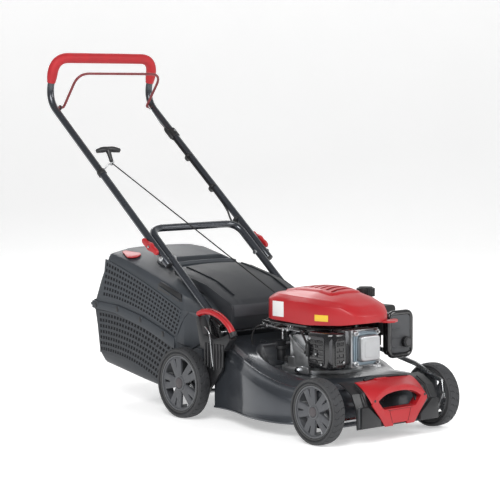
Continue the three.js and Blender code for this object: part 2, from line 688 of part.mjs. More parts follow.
// fuel tank beside the cowl on the left, with its neck and cap
const CAP = { x: 142, y: 190 };
const tank = cut(
  join(
    roundBox(COWL_HALF + 3, 182, 112, 262, 248, 330, 12),
    rod(V(CAP.x, CAP.y, 320), V(CAP.x, CAP.y, 360), 14, 20),
  ),
  roundBox(COWL_HALF + 6, 179, 115, 259, 251, 327, 10),
  rod(V(CAP.x, CAP.y, 300), V(CAP.x, CAP.y, 370), 11, 20),
);
node('fuel_tank', tank, BLACK);
const cap = cut(
  turned([[0, 348], [25, 348], [26, 352], [26, 373], [22, 377], [0, 377]], 24)
    .translate([CAP.x, CAP.y, 0]),
  rod(V(CAP.x, CAP.y, 340), V(CAP.x, CAP.y, 360 + GAP), 14 + RUN, 24),
);
node('fuel_cap', cap, BLACK);

// carburettor and air filter on the left of the head
node('carburettor', join(
  span(60, 100, 84, 130, 226, 270),
  rod(V(78, 106, 226), V(78, 106, 196), 15, 16),
), ALLOY);
const filterBase = roundBox(100, 188, 66, 83, 194, 318, 18);
node('air_filter_box', filterBase, BLACK);
node('air_filter_cover', cut(
  roundBox(104, 184, 50, 66 - GAP, 200, 312, 14),
  rod(V(160, 40, 234), V(160, 70, 234), 6 + RUN, 16),
), RIM_GREY);
node('filter_knob', join(
  rod(V(160, 50 - GAP, 234), V(160, 38, 234), 15, 20),
  rod(V(160, 48, 234), V(160, 60, 234), 6, 12),
), BLACK);

// dipstick cap behind the crankcase on the right, turned into its filler neck
const OIL = { x: -88, y: 286 };
node('oil_filler', cut(
  join(
    rod(V(OIL.x, OIL.y, ENGINE_Z + 26), V(OIL.x, OIL.y, 212), 12, 16),
    rod(V(OIL.x, OIL.y, ENGINE_Z + 30), V(-60, 262, ENGINE_Z + 30), 9, 10),
  ).subtract(engineCase),
  rod(V(OIL.x, OIL.y, ENGINE_Z + 40), V(OIL.x, OIL.y, 230), 9, 16),
), ALLOY);
node('oil_cap', join(
  rod(V(OIL.x, OIL.y, 212 + GAP), V(OIL.x, OIL.y, 222), 16, 16),
  rod(V(OIL.x, OIL.y, 200), V(OIL.x, OIL.y, 214), 9 - RUN, 16),
  box(30, 5, 14, OIL.x, OIL.y, 228),
), BLACK);

// brake and throttle lever plate behind the crankcase, where the cable ends
const BRAKE = { x: -84, y: 330, z: 274 };
node('control_plate', cut(
  join(span(-104, -40, 268, 350, 268, 272), span(-76, -62, 276, 296, 250, 270)),
  rod(V(BRAKE.x, BRAKE.y, 260), V(BRAKE.x, BRAKE.y, 280), 4 + RUN, 12),
), STEEL);
node('brake_lever', join(
  rod(V(BRAKE.x, BRAKE.y, 266), V(BRAKE.x, BRAKE.y, 280), 4, 12),
  rod(V(BRAKE.x, BRAKE.y, 272 + GAP), V(BRAKE.x, BRAKE.y, 276), 8, 12),
  box(8, 31, 3, BRAKE.x, BRAKE.y + 16, 274),
), STEEL);

// ---------------------------------------------------------------- handle
// the lower bow: two legs joined by a crossbar above the grass box
const BOW_TOP = 130;
const gripPoint = (x) => legPoint(x, LEG_TOP + GRIP_BACK, GRIP_RISE);
const BEND = 52;
const corner = (side) => legPoint(side * HANDLE_X, LEG_TOP);
const upperPath = bentPath([
  legPoint(-HANDLE_X, -30), corner(-1), gripPoint(-HANDLE_X), gripPoint(HANDLE_X), corner(1),
  legPoint(HANDLE_X, -30),
], BEND);
const BAIL_S = 695; // bail pivots along the legs, and a little above their centre line
const BAIL_LIFT = 4;
const BAIL_R = 4;
const CLAMP_S = 54; // clamp bolts along the legs
const BOLT_R = 4;
const across = (side, s, rise, x0, x1, r, sides = 12) =>
  rod(legPoint(side * x0, s, rise), legPoint(side * x1, s, rise), r, sides);
const both = [-1, 1];
const TUBE_OUT = HANDLE_X + TUBE_R + GAP;
const drilled = cut(
  tube(upperPath, TUBE_R, 80, 12),
  ...both.map((k) => across(k, BAIL_S, BAIL_LIFT, HANDLE_X - 30, HANDLE_X - 3, BAIL_R + RUN)),
  ...both.map((k) => across(k, 0, 0, HANDLE_X - 30, HANDLE_X + 30, BOLT_R + RUN)),
);
// the clamp bolts are fixed in the legs; each wing nut turns on one
const clampBolts = both.map((k) => across(k, CLAMP_S, 0, HANDLE_X, TUBE_OUT + 10, BOLT_R));
node('handle_upper', join(drilled, ...clampBolts), TUBE_GREY);
const bow = tube(bentPath([
  legPoint(-LOWER_X, LOWER_END), legPoint(-LOWER_X, BOW_TOP), legPoint(LOWER_X, BOW_TOP),
  legPoint(LOWER_X, LOWER_END),
], 44), TUBE_R, 40, 12);
node('handle_lower', cut(bow, ...both.map((k) =>
  across(k, 0, 0, LOWER_X - 30, LOWER_X + 30, BOLT_R + RUN))), TUBE_GREY);

// soft sleeve round the whole upper loop
const GRIP_R = 16;
const sleeveStart = (side) => corner(side).lerp(gripPoint(side * HANDLE_X), 0.45);
const sleevePoints = [
  sleeveStart(-1), gripPoint(-HANDLE_X), gripPoint(HANDLE_X), sleeveStart(1),
];
const borePoints = [corner(-1).lerp(gripPoint(-HANDLE_X), 0.41), sleevePoints[1],
  sleevePoints[2], corner(1).lerp(gripPoint(HANDLE_X), 0.41)];
node('grip_sleeve', cut(tube(bentPath(sleevePoints, BEND), GRIP_R, 40, 12),
  tube(bentPath(borePoints, BEND), aroundTube(12) + 0.25, 40, 12)), RED);

// bail: hinged inside the legs, its bar lies ahead of the grip
const BAIL_X = 160;
const BAIL_RISE = 136;
const bailPath = bentPath([
  legPoint(-HANDLE_X + 4, BAIL_S, BAIL_LIFT), legPoint(-BAIL_X, BAIL_S, BAIL_LIFT),
  legPoint(-BAIL_X, BAIL_S, BAIL_RISE), legPoint(BAIL_X, BAIL_S, BAIL_RISE),
  legPoint(BAIL_X, BAIL_S, BAIL_LIFT), legPoint(HANDLE_X - 4, BAIL_S, BAIL_LIFT),
], [9, 42, 42, 9], 4);
node('bail', tube(bailPath, BAIL_R, 90, 8), RED);

// fold bolts through both tubes, and the wing nuts outside the legs
for (const [name, side] of [['right', -1], ['left', 1]]) {
  const out = TUBE_OUT;
  const inn = LOWER_X - TUBE_R - GAP;
  node(`fold_bolt_${name}`, join(
    across(side, 0, 0, inn - 2, out + 2, BOLT_R),
    across(side, 0, 0, inn - 3, inn, 7, 6),
    across(side, 0, 0, out, out + 4, 8),
  ), STEEL);
  const a = legPoint(side * (out + 7), CLAMP_S - 34, 9);
  const b = legPoint(side * (out + 7), CLAMP_S + 34, -9);
  const hub = across(side, CLAMP_S, 0, out, out + 11, 11);
  const wing = (p, q) => rod(p, q, 5, 8);
  const mid = legPoint(side * (out + 7), CLAMP_S, 0);
  node(`wing_nut_${name}`, cut(join(hub, wing(a, mid), wing(mid, b)),
    across(side, CLAMP_S, 0, out - 5, out + 20, BOLT_R + RUN)), RED);
}

// ---------------------------------------------------------------- starter rope and its handle
const EYE = V(-165, 964, 712);
const PULL = V(0, 0.45, 0.893).normalize();
const ropeDir = EYE.clone().sub(ROPE_IN).normalize();
const along = (p, d, t) => p.clone().addScaledVector(d, t);
node('starter_rope', rod(ROPE_IN, along(EYE, ropeDir, -5), ROPE_R, 8), BLACK);
const GUIDE_S = 385;
const clampRing = cut(
  rod(legPoint(-HANDLE_X, GUIDE_S - 9), legPoint(-HANDLE_X, GUIDE_S + 9), 15, 12),
  rod(legPoint(-HANDLE_X, GUIDE_S - 30), legPoint(-HANDLE_X, GUIDE_S + 30), aroundTube(12), 12),
);
const guide = cut(
  join(
    clampRing,
    rod(legPoint(-HANDLE_X + 8, GUIDE_S, 12), along(EYE, V(-1, 0, -0.3), 5), 3, 8),
    rod(along(EYE, PULL, -3), along(EYE, PULL, 3), 8, 10),
  ),
  rod(along(EYE, PULL, -10), along(EYE, PULL, 10), ROPE_R + 2, 8),
  rod(along(EYE, ropeDir, -12), EYE, ROPE_R + 1.2, 8),
);
node('rope_guide', guide, STEEL);
const T_TOP = 46;
const pullBar = (side) => rod(along(EYE, PULL, T_TOP), along(EYE, PULL, T_TOP - 5)
  .add(V(side * 42, 0, 0)), 9, 12);
node('starter_handle', join(
  rod(along(EYE, PULL, 3 + GAP), along(EYE, PULL, T_TOP), 6, 12), pullBar(-1), pullBar(1),
), BLACK);

// ---------------------------------------------------------------- brake cable
const CABLE_R = 3;
const CABLE_X = HANDLE_X - TUBE_R - CABLE_R - GAP;
const HOUSING_S = 545;
node('cable_bracket', cut(
  join(
    rod(legPoint(HANDLE_X, HOUSING_S), legPoint(HANDLE_X, HOUSING_S + 34), 15, 12),
    rod(legPoint(CABLE_X, HOUSING_S), legPoint(CABLE_X, HOUSING_S + 34), 7, 10),
  ),
  rod(legPoint(HANDLE_X, HOUSING_S - 20), legPoint(HANDLE_X, HOUSING_S + 60), aroundTube(12), 12),
), BLACK);
const upperCable = new THREE.CatmullRomCurve3([
  legPoint(CABLE_X, HOUSING_S - GAP, 0), legPoint(CABLE_X, 400, 0), legPoint(CABLE_X, 260, 0),
  legPoint(CABLE_X, 200, -4), legPoint(CABLE_X, 160, -17), legPoint(CABLE_X, 100, -19),
  legPoint(CABLE_X, 40, -19), legPoint(CABLE_X, GAP, -19),
]);
node('brake_cable_upper', tube(upperCable, CABLE_R, 16, 8), BLACK);
const lowerCable = new THREE.CatmullRomCurve3([
  legPoint(CABLE_X, -GAP, -19), legPoint(CABLE_X, -60, -19), legPoint(170, -110, -20),
  legPoint(158, -160, -20), legPoint(149.4, -200, -8), legPoint(149.2, -235, 10),
  V(149.2, 455, 320), V(148, 424, 328), V(128, 396, 318), V(80, 391, 306), V(20, 391, 296),
  V(-40, 388, 286), V(-74, 380, 278), V(-84, 366, 274),
]);
node('brake_cable_lower', tube(lowerCable, CABLE_R, 34, 8), BLACK);

// ---------------------------------------------------------------- discharge flap
const FLAP_HALF = 144;
const FLAP_PIN = { y: 441, z: 252 };
const flapSkin = plateX([
  [431, 259], [428, 318], [440, 335], [545, 378], [692, 411], [692, 407], [546, 374], [443, 331],
  [432, 316], [435, 259],
], -FLAP_HALF, FLAP_HALF);
const flapEye = plateX([[431, 262], [433, 248], [441, 245], [448, 252], [441, 262]],
  -FLAP_HALF, FLAP_HALF);
const flapBore = rod(V(-200, FLAP_PIN.y, FLAP_PIN.z), V(200, FLAP_PIN.y, FLAP_PIN.z), 3 + RUN, 12);
node('flap', cut(join(flapSkin, flapEye), flapBore), BLACK);
node('flap_pin', rod(V(-PLATE_IN + GAP, FLAP_PIN.y, FLAP_PIN.z),
  V(PLATE_IN - GAP, FLAP_PIN.y, FLAP_PIN.z), 3), STEEL);

// ---------------------------------------------------------------- grass box
// the two shells meet along a line that rises to the rear
const rimZ = (y) =>
  RIM_FRONT_Z + ((RIM_REAR_Z - RIM_FRONT_Z) * (y - BOX_FRONT)) / (BOX_REAR - BOX_FRONT);
const BOX_TOP = [
  // y, half width, shoulder height, crown height
  [BOX_FRONT, BOX_NECK_HALF - 6, 262, 318], [560, BOX_NECK_HALF - 2, 318, 364],
  [BOX_WIDE, BOX_HALF - 3, 350, 380], [654, BOX_HALF, 370, 392], [845, BOX_HALF, 424, 444],
  [955, BOX_HALF - 4, 447, 459], [1000, BOX_HALF - 4, 372, 384],
  [BOX_REAR - 12, BOX_HALF - 4, 300, 306],
];
function upperRing([y, half, shoulder, crown], wall, low) {
  const h = half - wall;
  const side = [
    [-h, low], [-h, shoulder - 22 - wall], [-h + 10, shoulder - wall],
    [-Math.min(118, h - 20), crown - 3 - wall], [-60, crown - wall],
  ];
  const mirror = side.slice().reverse().map(([x, z]) => [-x, z]);
  return side.concat(mirror).map(([x, z]) => V(x, y, z));
}
function upperShell(wall) {
  return loft(BOX_TOP.map((row, i) => {
    const r = row.slice();
    if (wall && i === 0) r[0] -= 20;
    if (wall && i === BOX_TOP.length - 1) r[0] -= wall + 2;
    if (wall && i === BOX_TOP.length - 2) r[0] -= wall;
    return upperRing(r, wall, rimZ(r[0]) + 2 * GAP - (wall ? 10 : 0));
  }));
}
const GRIP_HOLE = span(-70, 70, 742, 790, 380, 480); // hand hole in the top
const boxUpper = cut(upperShell(0), upperShell(SHELL), GRIP_HOLE);
node('box_upper', boxUpper, BOX_GREY);

const BOX_FLOOR = [
  // y, half width, floor height
  [BOX_FRONT, BOX_NECK_HALF - 6, 108], [566, BOX_NECK_HALF - 2, 100], [BOX_WIDE, BOX_HALF - 6, 84],
  [729, BOX_HALF - 2, 64], [802, BOX_HALF - 2, 74], [993, BOX_HALF - 2, 105],
  [1013, BOX_HALF - 2, 125], [BOX_REAR - 14, BOX_HALF - 2, 246],
];
function lowerRing([y, half, floor], wall, high) {
  const h = half - wall;
  const side = [[-h, high], [-h, floor + 26], [-h + 14, floor + wall], [-60, floor + wall]];
  const mirror = side.slice().reverse().map(([x, z]) => [-x, z]);
  return side.concat(mirror).map(([x, z]) => V(x, y, z));
}
function lowerShell(wall) {
  return loft(BOX_FLOOR.map((row, i) => {
    const r = row.slice();
    if (wall && i === 0) r[0] -= 20;
    if (wall && i === BOX_FLOOR.length - 1) r[0] -= wall + 1;
    return lowerRing(r, wall, rimZ(r[0]) + (wall ? 10 : 0));
  }));
}
// the lip round the top of the lower shell, outside the walls
const lip = cut(
  span(-BOX_HALF - 2, BOX_HALF + 2, 672, BOX_REAR, 200, 300),
  span(-BOX_HALF + 4, BOX_HALF - 4, 600, BOX_REAR - 16, 150, 400),
  plateX([[600, rimZ(600)], [1100, rimZ(1100)], [1100, 500], [600, 500]], -250, 250),
  plateX([[600, rimZ(600) - 30], [1100, rimZ(1100) - 30], [1100, 0], [600, 0]], -250, 250),
);
node('box_lower', join(cut(lowerShell(0), lowerShell(SHELL)), lip), BOX_GREY);

// fill indicator: a tear-drop vane on the right shoulder of the top, hinged at its rear tip
const VANE = { x: -152, y: 880, z: 439.4, long: 48, half: 23, tip: 6, thick: 3 };
const VANE_TILT = deg(9.9); // along the top
const VANE_ROLL = deg(12.8); // across the shoulder
const vane = new THREE.Shape();
vane.moveTo(VANE.half, 0);
vane.absarc(0, 0, VANE.half, 0, Math.PI, true);
vane.lineTo(-VANE.tip, VANE.long);
vane.lineTo(VANE.tip, VANE.long);
vane.closePath();
const vaneSolid = new THREE.ExtrudeGeometry(vane, {
  depth: VANE.thick, bevelEnabled: false, curveSegments: 8,
});
vaneSolid.rotateY(-VANE_ROLL).rotateX(VANE_TILT).translate(VANE.x, VANE.y, VANE.z);
node('fill_indicator', solid(vaneSolid), RED);

// ---------------------------------------------------------------- placing
const bounds = new THREE.Box3().setFromObject(mower);
mower.position.y = -(bounds.min.y + bounds.max.y) / 2;

export default mower;
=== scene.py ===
"""Petrol push lawn mower: fine shapes, materials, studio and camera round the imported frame."""
import json
import math

import bmesh
import bpy
import numpy as np
from mathutils import Matrix, Vector


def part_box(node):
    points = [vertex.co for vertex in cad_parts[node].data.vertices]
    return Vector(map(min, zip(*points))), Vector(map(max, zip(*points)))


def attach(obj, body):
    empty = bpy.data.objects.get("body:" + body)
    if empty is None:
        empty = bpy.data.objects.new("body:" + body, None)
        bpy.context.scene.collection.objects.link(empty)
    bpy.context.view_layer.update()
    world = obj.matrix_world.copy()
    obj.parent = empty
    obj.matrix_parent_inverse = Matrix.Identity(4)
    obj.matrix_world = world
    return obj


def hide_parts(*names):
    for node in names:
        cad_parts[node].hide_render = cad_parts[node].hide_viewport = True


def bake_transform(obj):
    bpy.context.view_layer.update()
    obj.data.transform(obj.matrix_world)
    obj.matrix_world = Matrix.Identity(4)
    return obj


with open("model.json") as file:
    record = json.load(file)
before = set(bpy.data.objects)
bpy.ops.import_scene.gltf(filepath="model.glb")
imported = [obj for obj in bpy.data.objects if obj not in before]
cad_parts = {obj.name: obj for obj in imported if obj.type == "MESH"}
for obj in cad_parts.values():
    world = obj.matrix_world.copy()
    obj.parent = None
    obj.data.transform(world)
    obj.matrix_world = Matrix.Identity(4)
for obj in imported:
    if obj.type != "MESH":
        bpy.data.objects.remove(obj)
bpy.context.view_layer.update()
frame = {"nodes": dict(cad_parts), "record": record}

# ---------------------------------------------------------------- places
# Shapes are written in millimetres, with y = 0 at the front wheels' hub line, as the mower is
# measured; HUB is that line's place in the frame.
MM = 0.001
HUB = (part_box("tyre_front_right")[0].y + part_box("tyre_front_right")[1].y) / 2 / MM


def node_box(name):
    """A CAD node's lowest and highest corner, in millimetres from the front hub line."""
    low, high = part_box(name)
    shift = Vector((0, HUB, 0))
    return low / MM - shift, high / MM - shift


def place(v):
    """Millimetres from the front hub line to metres in the frame."""
    return Vector(((v[0]) * MM, (v[1] + HUB) * MM, v[2] * MM))


FRONT_R = node_box("tyre_front_right")[1].z / 2
REAR_R = node_box("tyre_rear_right")[1].z / 2
REAR_HUB = (node_box("tyre_rear_right")[0].y + node_box("tyre_rear_right")[1].y) / 2
TRACK_HALF = node_box("tyre_front_left")[1].x
TYRE_W = node_box("tyre_front_left")[1].x - node_box("tyre_front_left")[0].x

# ---------------------------------------------------------------- mesh tools
# a shape is (vertices, faces), in millimetres


def shape_join(*shapes):
    verts, faces = [], []
    for v, f in shapes:
        n = len(verts)
        verts.extend(v)
        faces.extend([tuple(i + n for i in face) for face in f])
    return verts, faces


def moved(shape, matrix):
    return [matrix @ Vector(v) for v in shape[0]], shape[1]


def mirrored(shape):
    return [Vector((-v[0], v[1], v[2])) for v in shape[0]], [tuple(reversed(f)) for f in shape[1]]


def loft(rings, closed=True, caps=True):
    """Joins rings of equal length; closed rings go all the way round."""
    verts = [Vector(p) for ring in rings for p in ring]
    n = len(rings[0])
    faces = []
    for i in range(len(rings) - 1):
        for j in range(n if closed else n - 1):
            a, b = i * n + j, i * n + (j + 1) % n
            faces.append((a, b, b + n, a + n))
    if caps:
        faces.append(tuple(range(n - 1, -1, -1)))
        faces.append(tuple(range((len(rings) - 1) * n, len(rings) * n)))
    return verts, faces


def lathe(profile, sides, axis="Z", centre=(0, 0, 0), closed=False):
    """Turns (radius, along) points about an axis. A radius of 0 at an end makes a pole there."""
    verts, faces = [], []
    rows = []
    for r, a in profile:
        if r < 1e-6:
            rows.append([len(verts)] * sides)
            verts.append((0, 0, a))
            continue
        rows.append(list(range(len(verts), len(verts) + sides)))
        for k in range(sides):
            t = 2 * math.pi * k / sides
            verts.append((r * math.cos(t), r * math.sin(t), a))
    pairs = list(zip(rows, rows[1:])) + ([(rows[-1], rows[0])] if closed else [])
    for low, high in pairs:
        for k in range(sides):
            n = (k + 1) % sides
            quad = [low[k], low[n], high[n], high[k]]
            face = tuple(dict.fromkeys(quad))
            if len(face) > 2:
                faces.append(face)
    turn = {"Z": Matrix.Identity(3), "X": Matrix(((0, 0, 1), (1, 0, 0), (0, 1, 0))),
            "Y": Matrix(((0, 1, 0), (0, 0, 1), (1, 0, 0)))}[axis]
    return [turn @ Vector(v) + Vector(centre) for v in verts], faces


def frames(points):
    """Tangent and two normals at each point of a path, turned as little as possible."""
    p = [Vector(q) for q in points]
    tangents = []
    for i in range(len(p)):
        a, b = p[max(i - 1, 0)], p[min(i + 1, len(p) - 1)]
        tangents.append((b - a).normalized())
    start = Vector((0, 0, 1)) if abs(tangents[0].z) < 0.9 else Vector((1, 0, 0))
    n = (start - tangents[0] * start.dot(tangents[0])).normalized()
    out = []
    for t in tangents:
        n = (n - t * n.dot(t)).normalized()
        out.append((t, n, t.cross(n)))
    return p, out


def sweep(points, radius, sides=24, section=None, caps=True):
    """A tube along points. radius is a number or one for each point; section is (u, v) pairs."""
    p, fr = frames(points)
    rings = []
    for i, (c, (_, n, b)) in enumerate(zip(p, fr)):
        r = radius[i] if hasattr(radius, "__len__") else radius
        if section:
            rings.append([c + n * u * r + b * v * r for u, v in section])
        else:
            turns = [2 * math.pi * k / sides for k in range(sides)]
            rings.append([c + (n * math.cos(t) + b * math.sin(t)) * r for t in turns])
    return loft(rings, caps=caps)


def rod(a, b, r, sides=24, edge=0.0):
    """A round bar from a to b, with its end edges rounded over the length edge."""
    a, b = Vector(a), Vector(b)
    d = (b - a).normalized()
    length = (b - a).length
    if not edge:
        return sweep([a, b], r, sides)
    stops = [(0, r - edge), (edge * 0.3, r - edge * 0.3), (edge, r),
             (length - edge, r), (length - edge * 0.3, r - edge * 0.3), (length, r - edge)]
    return sweep([a + d * s for s, _ in stops], [q for _, q in stops], sides)


def rounded(points, radius, steps=8):
    """A path through points with its corners rounded; radius is a number or one per corner."""
    p = [Vector(q) for q in points]
    out = [p[0]]
    for i in range(1, len(p) - 1):
        r = radius[i - 1] if hasattr(radius, "__len__") else radius
        a = p[i] + (p[i - 1] - p[i]).normalized() * r
        b = p[i] + (p[i + 1] - p[i]).normalized() * r
        for k in range(steps + 1):
            t = k / steps
            out.append(a * (1 - t) ** 2 + p[i] * 2 * t * (1 - t) + b * t * t)
    out.append(p[-1])
    return out


def refined(points, step):
    """The same path with no stretch longer than step."""
    out = [Vector(points[0])]
    for q in points[1:]:
        a, b = out[-1].copy(), Vector(q)
        n = max(1, math.ceil((b - a).length / step))
        out.extend(a.lerp(b, k / n) for k in range(1, n + 1))
    return out


def spline(points, steps=8):
    """A Catmull-Rom curve through points."""
    p = [Vector(q) for q in points]
    p = [p[0] * 2 - p[1]] + p + [p[-1] * 2 - p[-2]]
    out = []
    for i in range(1, len(p) - 2):
        a, b, c, d = p[i - 1:i + 3]
        for k in range(steps):
            t = k / steps
            out.append(0.5 * (2 * b + (c - a) * t + (2 * a - 5 * b + 4 * c - d) * t * t
                              + (3 * b - a - 3 * c + d) * t ** 3))
    out.append(p[-2])
    return out


def block(low, high):
    (x0, y0, z0), (x1, y1, z1) = low, high
    return loft([[(x0, y0, z0), (x1, y0, z0), (x1, y1, z0), (x0, y1, z0)],
                 [(x0, y0, z1), (x1, y0, z1), (x1, y1, z1), (x0, y1, z1)]])


def round_outline(points, radius, steps=6):
    """A closed outline with rounded corners; radius is a number or one per corner."""
    n = len(points)
    out = []
    for i in range(n):
        p = Vector(points[i])
        a, b = Vector(points[i - 1]), Vector(points[(i + 1) % n])
        r = radius[i] if hasattr(radius, "__len__") else radius
        r = min(r, (a - p).length / 2, (b - p).length / 2)
        if r < 0.01:
            out.append(p)
            continue
        s, e = p + (a - p).normalized() * r, p + (b - p).normalized() * r
        for k in range(steps + 1):
            t = k / steps
            out.append(s * (1 - t) ** 2 + p * 2 * t * (1 - t) + e * t * t)
    return out


def plate(outline, holes=(), depth=4.0, bevel=0.8, basis=None, origin=(0, 0, 0)):
    """A flat plate with holes and rounded edges. It is drawn in its own x and y; basis gives the
    directions of x, y and the thickness, which runs from origin along the third one."""
    curve = bpy.data.curves.new("plate", "CURVE")
    curve.dimensions = "2D"
    curve.fill_mode = "BOTH"
    curve.extrude = max(depth / 2 - bevel, 0.01)
    curve.bevel_depth = bevel
    curve.bevel_resolution = 2
    curve.offset = -bevel
    for ring in [outline, *holes]:
        line = curve.splines.new("POLY")
        line.points.add(len(ring) - 1)
        for point, q in zip(line.points, ring):
            point.co = (q[0], q[1], 0, 1)
        line.use_cyclic_u = True
    holder = bpy.data.objects.new("plate", curve)
    mesh = bpy.data.meshes.new_from_object(holder)
    verts = [v.co.copy() for v in mesh.vertices]
    faces = [tuple(f.vertices) for f in mesh.polygons]
    bpy.data.objects.remove(holder)
    bpy.data.curves.remove(curve)
    bpy.data.meshes.remove(mesh)
    x, y, z = [Vector(b) for b in (basis or ((1, 0, 0), (0, 1, 0), (0, 0, 1)))]
    middle = Vector(origin) + z * depth / 2
    return [middle + x * v.x + y * v.y + z * v.z for v in verts], faces


ALONG_X = ((0, 1, 0), (0, 0, 1), (1, 0, 0))  # drawn in y and z, thick along x
ALONG_Y = ((1, 0, 0), (0, 0, 1), (0, -1, 0))  # drawn in x and z, thick towards the front


def circle(r, sides=24, centre=(0, 0)):
    turns = [2 * math.pi * k / sides for k in range(sides)]
    return [Vector((centre[0] + r * math.cos(t), centre[1] + r * math.sin(t))) for t in turns]


def make(name, shape, body, mat, slot=None, stands_for=(), bevel=0.0, segments=2, subsurf=0,
         sharp=35, weld=0.01):
    """Turns a shape into a finished piece that rides on a body, or that is left to be blended."""
    mesh = bpy.data.meshes.new(name)
    mesh.from_pydata([place(v) for v in shape[0]], [], [tuple(f) for f in shape[1]])
    bm = bmesh.new()
    bm.from_mesh(mesh)
    bmesh.ops.remove_doubles(bm, verts=bm.verts, dist=weld * MM)
    bmesh.ops.recalc_face_normals(bm, faces=bm.faces)
    bm.to_mesh(mesh)
    bm.free()
    piece = bpy.data.objects.new(name, mesh)
    bpy.context.scene.collection.objects.link(piece)
    if bevel:
        mod = piece.modifiers.new("edge", "BEVEL")
        mod.width = bevel * MM
        mod.segments = segments
        mod.limit_method = "ANGLE"
        mod.angle_limit = math.radians(30)
        mod.harden_normals = False
    if subsurf:
        mod = piece.modifiers.new("smooth", "SUBSURF")
        mod.levels = mod.render_levels = subsurf
    if bevel or subsurf:
        apply_modifiers(piece)
    piece.data.shade_smooth()
    piece.data.set_sharp_from_angle(angle=math.radians(sharp))
    piece.data.materials.clear()
    piece.data.materials.append(mat)
    if body:
        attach(piece, body)
    if stands_for:
        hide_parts(*([stands_for] if isinstance(stands_for, str) else stands_for))
    return piece


def apply_modifiers(piece):
    graph = bpy.context.evaluated_depsgraph_get()
    done = bpy.data.meshes.new_from_object(piece.evaluated_get(graph))
    old = piece.data
    piece.modifiers.clear()
    piece.data = done
    bpy.data.meshes.remove(old)


def carve(piece, *cutters):
    """Cuts closed shapes out of a piece."""
    verts, faces = shape_join(*cutters)
    mesh = bpy.data.meshes.new("cutter")
    mesh.from_pydata([place(v) for v in verts], [], faces)
    bm = bmesh.new()
    bm.from_mesh(mesh)
    bmesh.ops.recalc_face_normals(bm, faces=bm.faces)
    bm.to_mesh(mesh)
    bm.free()
    cutter = bpy.data.objects.new("cutter", mesh)
    bpy.context.scene.collection.objects.link(cutter)
    mod = piece.modifiers.new("cut", "BOOLEAN")
    mod.object = cutter
    mod.solver = "EXACT"
    apply_modifiers(piece)
    bpy.data.objects.remove(cutter)
    bpy.data.meshes.remove(mesh)


# ---------------------------------------------------------------- materials


class Look:
    """A procedural material, built from noise in object space."""

    def __init__(self, name, color, rough=0.5, metal=0.0, coat=0.0, coat_rough=0.1):
        self.mat = bpy.data.materials.new(name)
        self.mat.use_nodes = True
        self.nodes = self.mat.node_tree.nodes
        self.links = self.mat.node_tree.links
        self.shader = self.nodes["Principled BSDF"]
        self.place = self.nodes.new("ShaderNodeTexCoord").outputs["Object"]
        self.shader.inputs["Base Color"].default_value = (*color, 1)
        self.shader.inputs["Roughness"].default_value = rough
        self.shader.inputs["Metallic"].default_value = metal
        self.shader.inputs["Coat Weight"].default_value = coat
        self.shader.inputs["Coat Roughness"].default_value = coat_rough
        self.color = color
        self.rough = rough
        self.normal = None

    def noise(self, scale, detail=3.0, stretch=(1, 1, 1)):
        node = self.nodes.new("ShaderNodeTexNoise")
        node.inputs["Scale"].default_value = scale
        node.inputs["Detail"].default_value = detail
        source = self.place
        if stretch != (1, 1, 1):
            mapping = self.nodes.new("ShaderNodeMapping")
            mapping.inputs["Scale"].default_value = stretch
            self.links.new(self.place, mapping.inputs["Vector"])
            source = mapping.outputs["Vector"]
        self.links.new(source, node.inputs["Vector"])
        return node.outputs["Fac"]

    def range(self, value, low, high, out_low, out_high):
        node = self.nodes.new("ShaderNodeMapRange")
        for key, number in zip(("From Min", "From Max", "To Min", "To Max"),
                               (low, high, out_low, out_high)):
            node.inputs[key].default_value = number
        self.links.new(value, node.inputs["Value"])
        return node.outputs["Result"]

    def mix(self, factor, a, b):
        node = self.nodes.new("ShaderNodeMix")
        node.data_type = "RGBA"
        self.links.new(factor, node.inputs["Factor"])
        for socket, value in ((node.inputs["A"], a), (node.inputs["B"], b)):
            if isinstance(value, tuple):
                socket.default_value = (*value, 1)
            else:
                self.links.new(value, socket)
        return node.outputs["Result"]

    def grain(self, scale, height, detail=2.0, stretch=(1, 1, 1)):
        """Fine relief; height is in millimetres."""
        return self.relief(self.noise(scale, detail, stretch), height)

    def relief(self, value, height):
        node = self.nodes.new("ShaderNodeBump")
        node.inputs["Distance"].default_value = height * MM
        node.inputs["Strength"].default_value = 1.0
        self.links.new(value, node.inputs["Height"])
        if self.normal:
            self.links.new(self.normal, node.inputs["Normal"])
        self.normal = node.outputs["Normal"]
        self.links.new(self.normal, self.shader.inputs["Normal"])
        return self

    def mottle(self, scale, amount, rough=0.0):
        """Slow changes of tone and gloss."""
        slow = self.noise(scale, 4.0)
        dark = tuple(c * (1 - amount) for c in self.color)
        light = tuple(min(1, c * (1 + amount)) for c in self.color)
        tone = self.mix(self.range(slow, 0.3, 0.7, 0, 1), dark, light)
        self.links.new(tone, self.shader.inputs["Base Color"])
        self.tone = tone
        if rough:
            gloss = self.range(slow, 0.3, 0.7, self.rough - rough, self.rough + rough)
            self.links.new(gloss, self.shader.inputs["Roughness"])
        return self

    def edges(self, color, low=0.52, high=0.62):
        """Convex edges, found by pointiness, lightened towards another colour: a painted highlight along
        ridges.
        """
        geometry = self.nodes.new("ShaderNodeNewGeometry")
        ridge_highlight = self.range(geometry.outputs["Pointiness"], low, high, 0, 1)
        tone = self.mix(ridge_highlight, getattr(self, "tone", self.color), color)
        self.links.new(tone, self.shader.inputs["Base Color"])
        self.tone = tone
        return self


